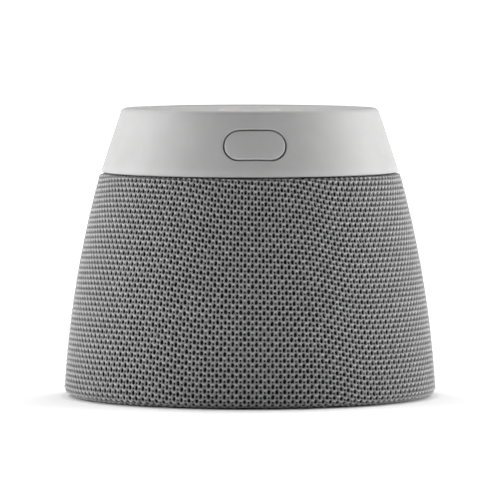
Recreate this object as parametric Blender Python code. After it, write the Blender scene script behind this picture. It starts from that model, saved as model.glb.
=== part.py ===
"""Tabletop smart speaker: a knitted-fabric body under a plastic top ring.

Metres, +Z up. The origin is the bottom centre, and the front, with the pill-shaped button, faces -Y.
The ring and the deck below it hold the electronics. A driver in a sealed cabinet fires up at a
deflector, and a passive radiator sits in each of the cabinet's two flat sides.
"""
import math

import bmesh
import bpy
from mathutils import Matrix, Vector

MM = 0.001
GAP = 0.3 * MM                    # air left between pieces that touch
SHELL_SIDES = 48                  # facets of the large outer shells
PLATE_SIDES = 40                  # facets of the large inner plates
SMALL_SIDES = 20                  # facets of the driver, the radiators and the buttons

# Overall shape
HEIGHT = 101.0 * MM
RING_TALL = 22.5 * MM
SEAM_HEIGHT = HEIGHT - RING_TALL  # underside of the top ring
BASE_RADIUS = 65.1 * MM           # widest point of the fabric
SHOULDER_RADIUS = 52.9 * MM       # fabric just below the seam
SIDE_ARC_RADIUS = 352.5 * MM      # the side bulges very slightly
RING_FOOT_RADIUS = SHOULDER_RADIUS - 0.6 * MM
RING_TOP_RADIUS = RING_FOOT_RADIUS - RING_TALL / 3
RING_WALL = 2.53 * MM
RING_SCREW_CIRCLE = RING_FOOT_RADIUS - RING_WALL - 3.2 * MM

# Fabric sleeve and grille frame
FABRIC_THICKNESS = 1.2 * MM
HEM_ROLL = 3.0 * MM
SHOULDER_ROLL = 1.0 * MM
HEM_WIDTH = 2.6 * MM
TUCK_WIDTH = 2.7 * MM
FRAME_THICKNESS = 1.6 * MM
FRAME_TOP_HOLE_RADIUS = RING_SCREW_CIRCLE - 1.4 * MM
FRAME_SIDES = 36
SLOT_BANDS = 3
BAND_BRIDGE = 4.0 * MM
SLOT_MARGIN = 6.0 * MM

# Base
BASE_LIFT = 0.5 * MM              # underside of the base plate above the table
BASE_THICKNESS = 4.1 * MM
BASE_CHAMFER = 0.6 * MM
BASE_SCREW_RADIUS = 1.4 * MM
BASE_SCREW_HEAD_RADIUS = 2.6 * MM
BASE_SCREW_HEAD_HEIGHT = 1.5 * MM
BASE_COUNTERBORE = 2.1 * MM
FOOT_HEIGHT = 2.0 * MM
FOOT_WIDTH = 6.0 * MM
FOOT_INNER_RADIUS = BASE_RADIUS - 8.1 * MM - FOOT_WIDTH

# Cabinet with its driver and passive radiators
CABINET_TOP = SEAM_HEIGHT - 20.5 * MM
CABINET_RADIUS = SHOULDER_RADIUS - 4.9 * MM
CABINET_FLAT = CABINET_RADIUS - 9.0 * MM    # distance of each flat side from the axis
CABINET_WALL = 2.4 * MM
CABINET_FLOOR = 4.0 * MM
CABINET_SPIGOT = 2.1 * MM
CABINET_FLANGE = 2.0 * MM
CABINET_LIP = 1.5 * MM
LID_THICKNESS = 2.7 * MM
SEAT_RADIUS = CABINET_RADIUS - 0.5 * MM     # hole in the grille frame's bottom that the cabinet sits in
DRIVER_HOLE_RADIUS = 26.9 * MM
DRIVER_FLANGE_RADIUS = 31.0 * MM
DRIVER_SHEET = 1.2 * MM
BASKET_WAIST_RADIUS = 20.6 * MM
BASKET_HEEL_RADIUS = 19.0 * MM
BASKET_HEEL = -14.5 * MM          # heights of the driver's pieces are from the lid's top
SPIDER_HEIGHT = -11.0 * MM
CONE_LOW = -8.6 * MM
CONE_RADIUS = 22.4 * MM
PAPER = 0.6 * MM
DUST_CAP_RADIUS = 9.9 * MM
DUST_CAP_RISE = 3.0 * MM
COIL_RADIUS = 8.0 * MM
COIL_WALL = 0.35 * MM
CONE_TRAVEL = 2.0 * MM
TOP_PLATE_RADIUS = 16.0 * MM
TOP_PLATE_THICKNESS = 2.5 * MM
MAGNET_HOLE_RADIUS = 10.5 * MM
MAGNET_RADIUS = 17.0 * MM
MAGNET_THICKNESS = 6.0 * MM
YOKE_RADIUS = 16.5 * MM
YOKE_THICKNESS = 3.0 * MM
YOKE_VENT_RADIUS = 2.2 * MM
RUBBER_SHEET = 0.5 * MM
DRIVER_ROLL_RADIUS = DRIVER_HOLE_RADIUS - 0.9 * MM
DRIVER_ROLL_RISE = 1.5 * MM
DRIVER_SCREW_RADIUS = 1.0 * MM
SPIDER_WAVES = 4
RADIATOR_RADIUS = 24.3 * MM
RADIATOR_HOLE_RADIUS = 19.8 * MM
RADIATOR_PLATE_RADIUS = 15.0 * MM
RADIATOR_PLATE_THICKNESS = 2.4 * MM
RADIATOR_ROLL_RISE = 1.8 * MM
CLAMP_THICKNESS = 2.0 * MM
DEFLECTOR_RISE = 9.4 * MM
DEFLECTOR_RADIUS = 34.0 * MM
DEFLECTOR_WALL = 1.4 * MM
DEFLECTOR_CURVE = 1.6             # power that hollows the cone

# Deck, boards and top ring
DECK_THICKNESS = 2.0 * MM
DECK_RIM_THICKNESS = 1.2 * MM
BOARD_THICKNESS = 1.4 * MM
RING_FLANGE_RADIUS = RING_SCREW_CIRCLE - 2.6 * MM
MAIN_BOARD_RADIUS = RING_FLANGE_RADIUS - 2.0 * MM
MAIN_BOARD_FRONT = 34.0 * MM
MAIN_BOARD_REAR = 40.0 * MM
MAIN_BOARD_HEIGHT = SEAM_HEIGHT + 4.1 * MM
BOARD_SCREW_CIRCLE = MAIN_BOARD_RADIUS - 10.0 * MM
BOARD_SCREW_RADIUS = 1.0 * MM
POST_RADIUS = 2.4 * MM
SHIELD_SIZE = (24.0 * MM, 18.0 * MM, 2.6 * MM)
CONTROL_BOARD_HEIGHT = HEIGHT - 9.8 * MM
RING_FLANGE_THICKNESS = 1.8 * MM
RING_TOP_ROUND = 2.0 * MM
RING_FOOT_CHAMFER = 0.35 * MM
RING_FOOT_LIFT = 0.15 * MM        # the ring's skirt clears the fabric
RING_STEP_WIDTH = 0.9 * MM
RING_SCREW_RADIUS = 1.1 * MM
RING_SCREW_HEAD_RADIUS = 1.8 * MM
RING_SCREW_HEAD_HEIGHT = 1.3 * MM
COVER_RADIUS = RING_TOP_RADIUS - 3.1 * MM
COVER_EDGE_DROP = 0.25 * MM       # cover edge below the ring's rim
COVER_DISH = 0.5 * MM
COVER_THICKNESS = 1.6 * MM
COVER_CORNER = 0.5 * MM           # chamfer round the cover's hole
LEDGE_WIDTH = 1.8 * MM
LEDGE_THICKNESS = 1.8 * MM
CONTROL_BOARD_RADIUS = COVER_RADIUS - 3.7 * MM

# Buttons
FRONT_BUTTON_HEIGHT = SEAM_HEIGHT + 11.1 * MM
FRONT_BUTTON_WIDTH = 21.0 * MM
FRONT_BUTTON_TALL = 10.3 * MM
FRONT_BUTTON_SLIT = 0.45 * MM     # slit all round the button
FRONT_LIP_GAP = 0.4 * MM          # air between the ring's wall and the button's lip
FRONT_BUTTON_DEPTH = RING_WALL + 1.37 * MM
FRONT_PLUNGER_END = -FRONT_BUTTON_DEPTH - 2.5 * MM
FRONT_PLUNGER_RADIUS = 1.6 * MM
FRONT_SWITCH_WIDTH = 6.0 * MM
FRONT_SWITCH_TALL = 2.0 * MM
FRONT_BOARD_THICKNESS = 1.2 * MM
FRONT_BOARD_TALL = 9.0 * MM
FRONT_BOSS_RADIUS = 2.2 * MM
BUTTON_LIP = 1.0 * MM
TOP_BUTTON_CIRCLE = 24.0 * MM
TOP_BUTTON_RADIUS = 5.5 * MM
TOP_BUTTON_SLIT = 0.4 * MM
TOP_BUTTON_RISE = 0.1 * MM
ACTION_BUTTON_RADIUS = 9.2 * MM
ACTION_BUTTON_RISE = 0.1 * MM
PUSH_STEM_RADIUS = 1.8 * MM
PUSH_LIP_THICKNESS = 0.9 * MM
LIGHT_RING_WIDTH = 1.7 * MM
LIGHT_RING_LIP = 1.6 * MM
LIGHT_RING_RISE = 0.05 * MM
MICROPHONE_CIRCLE = 30.0 * MM
MICROPHONE_RADIUS = 0.6 * MM
STAKE_CIRCLE = CONTROL_BOARD_RADIUS - 5.0 * MM
STAKE_RADIUS = 1.0 * MM
STAKE_SHOULDER_RADIUS = 2.3 * MM
TOP_SWITCH_WIDTH = 5.2 * MM
TOP_SWITCH_TALL = 1.3 * MM
ACTUATOR_RISE = 0.4 * MM
SWITCH_STROKE = 0.6 * MM          # air between a plunger and its switch

# Sockets at the back
SOCKET_SPACING = 18.0 * MM
SOCKET_HEIGHT = MAIN_BOARD_HEIGHT + BOARD_THICKNESS + 4.4 * MM
SOCKET_LENGTH = 12.6 * MM
POWER_SOCKET_WIDTH = 9.4 * MM
AUDIO_SOCKET_WIDTH = 6.6 * MM
POWER_SOCKET_NOSE = 4.0 * MM
AUDIO_SOCKET_NOSE = 2.9 * MM
POWER_SOCKET_BORE = 2.8 * MM
AUDIO_SOCKET_BORE = 1.8 * MM
POWER_SOCKET_PIN = 1.0 * MM
SOCKET_BORE_DEPTH = 9.0 * MM

BASE_TOP = BASE_LIFT + BASE_THICKNESS
FRAME_BOTTOM = BASE_TOP + GAP
FRAME_TOP = SEAM_HEIGHT - GAP - FABRIC_THICKNESS - GAP
LID_TOP = CABINET_TOP + GAP + LID_THICKNESS
DECK_TOP = SEAM_HEIGHT - GAP
RING_SLOPE = (RING_FOOT_RADIUS - RING_TOP_RADIUS) / (HEIGHT - SEAM_HEIGHT)
RING_LEAN = math.atan(RING_SLOPE)


# ---------------------------------------------------------------- shapes as functions

def ring_radius(height):
    """Outer radius of the conical top ring."""
    return RING_TOP_RADIUS + RING_SLOPE * (HEIGHT - height)


def side_radius(height):
    """Outer radius of the fabric: one arc from the hem to the shoulder."""
    low = Vector((BASE_RADIUS, BASE_LIFT + HEM_ROLL))
    high = Vector((SHOULDER_RADIUS, SEAM_HEIGHT - GAP - SHOULDER_ROLL))
    chord = high - low
    reach = math.sqrt(SIDE_ARC_RADIUS ** 2 - chord.length_squared / 4)
    centre = (low + high) / 2 - reach * Vector((chord.y, -chord.x)).normalized()
    return centre.x + math.sqrt(SIDE_ARC_RADIUS ** 2 - (height - centre.y) ** 2)


def cover_height(radius):
    """Top of the dished cover."""
    return HEIGHT - COVER_EDGE_DROP - COVER_DISH * (1 - (radius / COVER_RADIUS) ** 2)


def arc(centre, radius, start, end, steps):
    """Points of an arc in the profile plane, angles in degrees."""
    points = []
    for step in range(steps + 1):
        angle = math.radians(start + (end - start) * step / steps)
        points.append((centre[0] + radius * math.cos(angle), centre[1] + radius * math.sin(angle)))
    return points


def spread(start, end, steps):
    """Evenly spaced numbers from start to end."""
    return [start + (end - start) * step / steps for step in range(steps + 1)]


def circle(radius, sides):
    """Outline of a circle."""
    turns = [2 * math.pi * side / sides for side in range(sides)]
    return [(radius * math.cos(turn), radius * math.sin(turn)) for turn in turns]


def on_circle(radius, degrees):
    """Point on a circle round the axis, as a vector at height zero."""
    turn = math.radians(degrees)
    return Vector((radius * math.cos(turn), radius * math.sin(turn), 0))


def stadium(width, tall, sides=10):
    """Outline of a pill shape with full round ends."""
    end = (width - tall) / 2
    right = arc((end, 0), tall / 2, -90, 90, sides)
    left = arc((-end, 0), tall / 2, 90, 270, sides)
    return right + left


def flatted(radius, flat, sides=PLATE_SIDES):
    """Outline of a circle with two flats that face +X and -X."""
    return [(max(-flat, min(flat, x)), y) for x, y in circle(radius, sides)]


# ---------------------------------------------------------------- meshes

def finished(work, name):
    """Turn a bmesh into a mesh with outward faces and smooth shading between sharp edges."""
    bmesh.ops.recalc_face_normals(work, faces=work.faces[:])
    mesh = bpy.data.meshes.new(name)
    work.to_mesh(mesh)
    work.free()
    mesh.shade_smooth()
    mesh.set_sharp_from_angle(angle=math.radians(35))
    return mesh


def turned(profile, sides=SMALL_SIDES):
    """Solid of revolution about Z from (radius, height) points, closed or from axis to axis."""
    work = bmesh.new()
    points = [work.verts.new((radius, 0, height)) for radius, height in profile]
    pairs = list(zip(points, points[1:]))
    if profile[0][0] > 0:
        pairs.append((points[-1], points[0]))
    edges = [work.edges.new(pair) for pair in pairs]
    axis = {"cent": (0, 0, 0), "axis": (0, 0, 1)}
    bmesh.ops.spin(work, geom=points + edges, angle=2 * math.pi, steps=sides, use_merge=True, **axis)
    bmesh.ops.remove_doubles(work, verts=work.verts[:], dist=0.001 * MM)
    return finished(work, "turned")


def tube(inner, outer, low, high, sides=SMALL_SIDES):
    """Plain ring with a rectangular section."""
    return turned([(inner, low), (outer, low), (outer, high), (inner, high)], sides)


def rod(radius, low, high, sides=12):
    """Plain cylinder about Z."""
    return turned([(0, low), (radius, low), (radius, high), (0, high)], sides)


def prism(outline, low, high):
    """Outline in X and Y extruded along Z."""
    work = bmesh.new()
    floor = work.faces.new([work.verts.new((x, y, low)) for x, y in outline])
    raised = bmesh.ops.extrude_face_region(work, geom=[floor])["geom"]
    lifted = [item for item in raised if isinstance(item, bmesh.types.BMVert)]
    bmesh.ops.translate(work, verts=lifted, vec=(0, 0, high - low))
    return finished(work, "prism")


def block(size, low):
    """Box of the given X, Y and Z size, standing on the height low."""
    half_x = size[0] / 2
    half_y = size[1] / 2
    outline = [(-half_x, -half_y), (half_x, -half_y), (half_x, half_y), (-half_x, half_y)]
    return prism(outline, low, low + size[2])


def lofted(rings):
    """Solid through (outline, height) rings of equal point count, closed at both ends."""
    work = bmesh.new()
    loops = [[work.verts.new((x, y, height)) for x, y in outline] for outline, height in rings]
    for below, above in zip(loops, loops[1:]):
        for side in range(len(below)):
            after = (side + 1) % len(below)
            work.faces.new((below[side], below[after], above[after], above[side]))
    work.faces.new(loops[0])
    work.faces.new(loops[-1])
    return finished(work, "lofted")


def pierced_skin(profile, sides, is_open):
    """Turned sheet without the cells for which is_open(row, side) is true. Its outside is on the right."""
    work = bmesh.new()
    loops = [[work.verts.new((x, y, height)) for x, y in circle(radius, sides)] for radius, height in profile]
    for row, (below, above) in enumerate(zip(loops, loops[1:])):
        for side in range(sides):
            after = (side + 1) % sides
            if not is_open(row, side):
                work.faces.new((below[side], below[after], above[after], above[side]))
    mesh = bpy.data.meshes.new("skin")
    work.to_mesh(mesh)
    work.free()
    mesh.shade_smooth()
    mesh.set_sharp_from_angle(angle=math.radians(35))
    return mesh


def copies(mesh, places):
    """One mesh that holds a copy of another at each place."""
    work = bmesh.new()
    for place in places:
        shifted = mesh.copy()
        shifted.transform(Matrix.Translation(place))
        work.from_mesh(shifted)
        bpy.data.meshes.remove(shifted)
    joined = bpy.data.meshes.new("copies")
    work.to_mesh(joined)
    work.free()
    return joined


# ---------------------------------------------------------------- objects

def material(name, colour, roughness, metallic=0.0):
    """Plain surface with the part's colour."""
    made = bpy.data.materials.new(name)
    made.use_nodes = True
    shader = made.node_tree.nodes["Principled BSDF"]
    shader.inputs["Base Color"].default_value = (*colour, 1.0)
    shader.inputs["Roughness"].default_value = roughness
    shader.inputs["Metallic"].default_value = metallic
    return made


def axis_empty(name, location, rotation=(0, 0, 0)):
    """Empty that pieces with a common axis are parented to."""
    empty = bpy.data.objects.new(name, None)
    empty.location = location
    empty.rotation_euler = rotation
    bpy.context.scene.collection.objects.link(empty)
    return empty


def piece(name, mesh, look, location=(0, 0, 0), parent=None, rotation=(0, 0, 0)):
    """One physical piece of the speaker."""
    part = bpy.data.objects.new(name, mesh)
    part.location = location
    part.rotation_euler = rotation
    part.parent = parent
    if not mesh.materials:
        mesh.materials.append(look)
    bpy.context.scene.collection.objects.link(part)
    return part


def tool(name, mesh, location=(0, 0, 0), parent=None, rotation=(0, 0, 0)):
    """Hidden shape that a Boolean adds or removes."""
    helper = bpy.data.objects.new(name, mesh)
    helper.location = location
    helper.rotation_euler = rotation
    helper.parent = parent
    helper.hide_render = True
    helper.display_type = "WIRE"
    bpy.context.scene.collection.objects.link(helper)
    return helper


def combine(part, operation, helper):
    """Boolean of a piece with a hidden shape."""
    step = part.modifiers.new(helper.name, "BOOLEAN")
    step.operation = operation
    step.solver = "EXACT"
    step.object = helper


def solidify(part, thickness):
    """Give a sheet its thickness on its inner side."""
    step = part.modifiers.new("thickness", "SOLIDIFY")
    step.thickness = thickness
    step.offset = -1
    step.use_even_offset = True


def screw_mesh(shaft_radius, length, head_radius, head_height):
    """Pan-head screw: the head stands on height zero and the shaft hangs below it."""
    recess_radius = head_radius * 0.45
    recess_depth = head_height * 0.5
    profile = [
        (0, -length),
        (shaft_radius, -length),
        (shaft_radius, 0),
        (head_radius, 0),
        (head_radius, head_height),
        (recess_radius, head_height),
        (0, head_height - recess_depth),
    ]
    return turned(profile, 6)


# ---------------------------------------------------------------- outside shells

def make_fabric_sleeve(looks):
    """Knitted sleeve, rolled under at the hem and tucked under the ring at the shoulder."""
    hem_height = BASE_LIFT + HEM_ROLL
    shoulder_height = SEAM_HEIGHT - GAP - SHOULDER_ROLL
    hem_centre = (BASE_RADIUS - HEM_ROLL, hem_height)
    shoulder_centre = (SHOULDER_RADIUS - SHOULDER_ROLL, shoulder_height)
    inner_top = SEAM_HEIGHT - GAP - FABRIC_THICKNESS
    outside = [(side_radius(height), height) for height in spread(hem_height, shoulder_height, 5)[1:-1]]
    inside = [(side_radius(height) - FABRIC_THICKNESS, height) for height in spread(inner_top, hem_height, 5)]
    hem_edge = hem_centre[0] - HEM_WIDTH
    tuck_edge = shoulder_centre[0] - TUCK_WIDTH
    profile = [(hem_edge, BASE_LIFT)]
    profile += arc(hem_centre, HEM_ROLL, -90, 0, 2)
    profile += outside
    profile += arc(shoulder_centre, SHOULDER_ROLL, 0, 90, 2)
    profile += [(tuck_edge, SEAM_HEIGHT - GAP), (tuck_edge, inner_top)]
    profile += inside
    profile += arc(hem_centre, HEM_ROLL - FABRIC_THICKNESS, 0, -90, 1)[1:]
    profile += [(hem_edge, BASE_LIFT + FABRIC_THICKNESS)]
    piece("fabric_sleeve", turned(profile, SHELL_SIDES), looks["fabric"])


def make_grille_frame(looks, ring_screw_holes):
    """Slotted plastic frame that the sleeve is stretched over."""
    def outside(height):
        return side_radius(height) - FABRIC_THICKNESS - GAP

    slot_low = FRAME_BOTTOM + SLOT_MARGIN
    slot_high = FRAME_TOP - SLOT_MARGIN
    band = (slot_high - slot_low - (SLOT_BANDS - 1) * BAND_BRIDGE) / SLOT_BANDS
    heights = [FRAME_BOTTOM]
    for index in range(SLOT_BANDS):
        low = slot_low + index * (band + BAND_BRIDGE)
        heights += [low, low + band]
    heights.append(FRAME_TOP)
    profile = [(SEAT_RADIUS, FRAME_BOTTOM)]
    profile += [(outside(height), height) for height in heights]
    profile.append((FRAME_TOP_HOLE_RADIUS, FRAME_TOP))
    slot_rows = {2 + 2 * index for index in range(SLOT_BANDS)}

    def is_open(row, side):
        return row in slot_rows and side % 2 == 0

    frame = piece("grille_frame", pierced_skin(profile, FRAME_SIDES, is_open), looks["black_plastic"])
    solidify(frame, FRAME_THICKNESS)
    combine(frame, "DIFFERENCE", ring_screw_holes)


def make_base(looks):
    """Base plate with its rubber foot ring and three screws up into the cabinet."""
    foot_outer = FOOT_INNER_RADIUS + FOOT_WIDTH
    piece("foot_ring", tube(FOOT_INNER_RADIUS, foot_outer, 0, FOOT_HEIGHT, PLATE_SIDES), looks["rubber"])
    plate_radius = BASE_RADIUS - HEM_ROLL - HEM_WIDTH - GAP
    groove_top = FOOT_HEIGHT + GAP
    profile = [
        (0, BASE_LIFT),
        (FOOT_INNER_RADIUS - GAP, BASE_LIFT),
        (FOOT_INNER_RADIUS - GAP, groove_top),
        (foot_outer + GAP, groove_top),
        (foot_outer + GAP, BASE_LIFT),
        (plate_radius - BASE_CHAMFER, BASE_LIFT),
        (plate_radius, BASE_LIFT + BASE_CHAMFER),
        (plate_radius, BASE_TOP),
        (0, BASE_TOP),
    ]
    plate = piece("base_plate", turned(profile, PLATE_SIDES), looks["black_plastic"])

    circle_radius = CABINET_RADIUS - 12.0 * MM
    seat = BASE_LIFT + BASE_COUNTERBORE
    tip = BASE_TOP + GAP + 0.7 * CABINET_FLOOR
    places = [on_circle(circle_radius, angle) for angle in (90, 210, 330)]
    holes = copies(rod(BASE_SCREW_RADIUS + GAP, 0, tip + GAP), places)
    counterbores = copies(rod(BASE_SCREW_HEAD_RADIUS + GAP, 0, seat), places)
    hole_tool = tool("base_screw_holes", holes)
    combine(plate, "DIFFERENCE", hole_tool)
    combine(plate, "DIFFERENCE", tool("base_counterbores", counterbores))
    mesh = screw_mesh(BASE_SCREW_RADIUS, tip - seat + GAP, BASE_SCREW_HEAD_RADIUS, BASE_SCREW_HEAD_HEIGHT)
    for number, place in enumerate(places, 1):
        location = place + Vector((0, 0, seat - GAP))
        piece(f"base_screw_{number}", mesh, looks["steel"], location, rotation=(math.pi, 0, 0))
    return hole_tool


# ---------------------------------------------------------------- cabinet and driver

def make_cabinet(looks, base_screw_holes, driver_screw_holes):
    """Sealed cabinet with two flat sides, and its lid that carries the driver."""
    bottom = BASE_TOP + GAP
    flange_low = bottom + CABINET_SPIGOT
    flange_high = flange_low + CABINET_FLANGE
    spigot_radius = SEAT_RADIUS - GAP
    flange_radius = CABINET_RADIUS + CABINET_LIP
    no_flat = 2 * CABINET_RADIUS
    outer = flatted(CABINET_RADIUS, CABINET_FLAT)
    inner = flatted(CABINET_RADIUS - CABINET_WALL, CABINET_FLAT - CABINET_WALL)
    rings = [
        (flatted(spigot_radius, no_flat), bottom),
        (flatted(spigot_radius, no_flat), flange_low),
        (flatted(flange_radius, no_flat), flange_low),
        (flatted(flange_radius, no_flat), flange_high),
        (outer, flange_high),
        (outer, CABINET_TOP),
        (inner, CABINET_TOP),
        (inner, bottom + CABINET_FLOOR),
    ]
    cabinet = piece("speaker_cabinet", lofted(rings), looks["black_plastic"])
    combine(cabinet, "DIFFERENCE", base_screw_holes)
    radiator_height = flange_high + 0.6 * MM + RADIATOR_RADIUS
    bore = rod(RADIATOR_HOLE_RADIUS, -CABINET_RADIUS, CABINET_RADIUS, SMALL_SIDES)
    bore_tool = tool("radiator_bore", bore, (0, 0, radiator_height), rotation=(0, math.pi / 2, 0))
    combine(cabinet, "DIFFERENCE", bore_tool)

    lid = piece("cabinet_lid", prism(outer, CABINET_TOP + GAP, LID_TOP), looks["black_plastic"])
    combine(lid, "DIFFERENCE", tool("driver_bore", rod(DRIVER_HOLE_RADIUS, CABINET_TOP, HEIGHT, 24)))
    combine(lid, "DIFFERENCE", driver_screw_holes)
    for side, turn in (("left", -1), ("right", 1)):
        make_passive_radiator(looks, side, turn, radiator_height)


def roll_profile(inner, roll_in, roll_out, outer, low, sheet, rise):
    """Section of a rubber surround: two flat rims and a half roll between them."""
    middle = (roll_in + roll_out) / 2
    half = (roll_out - roll_in) / 2
    top = []
    under = []
    for angle in (150, 90, 30):
        along = middle + half * math.cos(math.radians(angle))
        lift = rise * math.sin(math.radians(angle))
        top.append((along, low + sheet + lift))
        under.append((along, low + lift))
    profile = [(inner, low), (inner, low + sheet), (roll_in, low + sheet)]
    profile += top + [(roll_out, low + sheet), (outer, low + sheet), (outer, low), (roll_out, low)]
    return profile + under[::-1] + [(roll_in, low)]


def make_passive_radiator(looks, side, turn, height):
    """Weighted plate on a rubber surround, held on a flat side of the cabinet by a clamp ring."""
    location = (turn * CABINET_FLAT, 0, height)
    axis = axis_empty(f"passive_radiator_axis_{side}", location, (0, turn * math.pi / 2, 0))
    rim_low = GAP
    clamp_low = rim_low + RUBBER_SHEET + GAP
    rubber = roll_profile(
        RADIATOR_PLATE_RADIUS - 2.5 * MM,
        RADIATOR_PLATE_RADIUS + GAP,
        RADIATOR_HOLE_RADIUS,
        RADIATOR_RADIUS - GAP,
        rim_low,
        RUBBER_SHEET,
        RADIATOR_ROLL_RISE,
    )
    clamp = tube(RADIATOR_HOLE_RADIUS + 3 * GAP, RADIATOR_RADIUS, clamp_low, clamp_low + CLAMP_THICKNESS)
    plate = rod(RADIATOR_PLATE_RADIUS, -RADIATOR_PLATE_THICKNESS, 0, SMALL_SIDES)
    piece(f"passive_radiator_surround_{side}", turned(rubber), looks["rubber"], parent=axis)
    piece(f"passive_radiator_clamp_{side}", clamp, looks["black_plastic"], parent=axis)
    piece(f"passive_radiator_plate_{side}", plate, looks["steel"], parent=axis)


def make_driver(looks):
    """Full-range driver that fires up. Its axis empty stands on the lid's top."""
    axis = axis_empty("driver_axis", (0, 0, LID_TOP))
    flange_top = GAP + DRIVER_SHEET
    neck = DRIVER_HOLE_RADIUS - 0.7 * MM
    coil_outer = COIL_RADIUS + COIL_WALL
    gap_radius = coil_outer + 0.35 * MM

    outside = [
        (gap_radius + 1.5 * MM, BASKET_HEEL),
        (BASKET_HEEL_RADIUS, BASKET_HEEL),
        (BASKET_WAIST_RADIUS, SPIDER_HEIGHT),
        (neck - 1.6 * MM, -2.0 * MM),
        (neck, GAP),
        (DRIVER_FLANGE_RADIUS, GAP),
    ]

    def is_open(row, side):
        return row == 2 and side % 6 > 1

    basket = piece("driver_basket", pierced_skin(outside, 24, is_open), looks["steel"], parent=axis)
    solidify(basket, DRIVER_SHEET)

    plate_high = BASKET_HEEL - GAP
    plate_low = plate_high - TOP_PLATE_THICKNESS
    magnet_high = plate_low - GAP
    magnet_low = magnet_high - MAGNET_THICKNESS
    yoke_high = magnet_low - GAP
    yoke_low = yoke_high - YOKE_THICKNESS
    pole_radius = COIL_RADIUS - 0.4 * MM
    yoke = [
        (YOKE_VENT_RADIUS, yoke_low),
        (YOKE_RADIUS, yoke_low),
        (YOKE_RADIUS, yoke_high),
        (pole_radius, yoke_high),
        (pole_radius, plate_high),
        (YOKE_VENT_RADIUS, plate_high),
    ]
    top_plate = tube(gap_radius, TOP_PLATE_RADIUS, plate_low, plate_high)
    magnet = tube(MAGNET_HOLE_RADIUS, MAGNET_RADIUS, magnet_low, magnet_high)
    piece("driver_top_plate", top_plate, looks["steel"], parent=axis)
    piece("driver_magnet", magnet, looks["ferrite"], parent=axis)
    piece("driver_yoke", turned(yoke), looks["steel"], parent=axis)

    cone = [
        (gap_radius, CONE_LOW),
        (CONE_RADIUS, flange_top - PAPER),
        (CONE_RADIUS, flange_top),
        (gap_radius, CONE_LOW + PAPER),
    ]
    cone_rise = (flange_top - PAPER - CONE_LOW) / (CONE_RADIUS - gap_radius)
    cap_low = CONE_LOW + PAPER + (DUST_CAP_RADIUS - gap_radius) * cone_rise + GAP
    shares = spread(0, 1, 3)
    dome = [(DUST_CAP_RADIUS * share, cap_low + DUST_CAP_RISE * (1 - share ** 2)) for share in shares]
    cap = [(radius, height + 0.5 * MM) for radius, height in dome] + dome[::-1]
    coil_low = yoke_high + CONE_TRAVEL + 0.9 * MM
    coil = tube(COIL_RADIUS, coil_outer, coil_low, CONE_LOW + 0.4 * MM)
    piece("driver_cone", turned(cone, 24), looks["paper"], parent=axis)
    piece("dust_cap", turned(cap), looks["paper"], parent=axis)
    piece("voice_coil", coil, looks["copper"], parent=axis)

    surround = roll_profile(
        CONE_RADIUS - 1.0 * MM,
        CONE_RADIUS + 0.5 * MM,
        DRIVER_ROLL_RADIUS,
        DRIVER_ROLL_RADIUS + 1.5 * MM,
        flange_top + GAP,
        RUBBER_SHEET,
        DRIVER_ROLL_RISE,
    )
    piece("driver_surround", turned(surround, 24), looks["rubber"], parent=axis)

    cloth = 0.5 * MM
    spider_outer = BASKET_WAIST_RADIUS - DRIVER_SHEET - cloth
    upper = []
    for index, radius in enumerate(spread(gap_radius, spider_outer, SPIDER_WAVES)):
        upper.append((radius, SPIDER_HEIGHT + cloth * (index % 2)))
    lower = [(radius, height - cloth) for radius, height in upper[::-1]]
    piece("driver_spider", turned(upper + lower), looks["cloth"], parent=axis)

    places = [on_circle(DRIVER_FLANGE_RADIUS - 1.7 * MM, angle) for angle in (45, 135, 225, 315)]
    holes = copies(rod(DRIVER_SCREW_RADIUS + GAP, -2 * LID_THICKNESS, 2 * flange_top, 8), places)
    hole_tool = tool("driver_screw_holes", holes, parent=axis)
    combine(basket, "DIFFERENCE", hole_tool)
    seat = flange_top + GAP
    mesh = screw_mesh(DRIVER_SCREW_RADIUS, seat + 0.8 * LID_THICKNESS, 1.4 * MM, 1.1 * MM)
    for number, place in enumerate(places, 1):
        piece(f"driver_screw_{number}", mesh, looks["steel"], place + Vector((0, 0, seat)), axis)
    return hole_tool


def make_deflector(looks):
    """Hollow cone under the deck that turns the driver's sound outwards."""
    top = DECK_TOP - DECK_THICKNESS - GAP
    outside = []
    for share in spread(0, 1, 5):
        outside.append((DEFLECTOR_RADIUS * share, top - DEFLECTOR_RISE * (1 - share) ** DEFLECTOR_CURVE))
    raised = [(radius, height + DEFLECTOR_WALL) for radius, height in outside[:-1]]
    inside = [(radius, height) for radius, height in raised if height < top]
    profile = outside + [(inside[-1][0] + DEFLECTOR_WALL, top)] + inside[::-1]
    piece("acoustic_deflector", turned(profile, 24), looks["black_plastic"])


# ---------------------------------------------------------------- electronics

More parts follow.
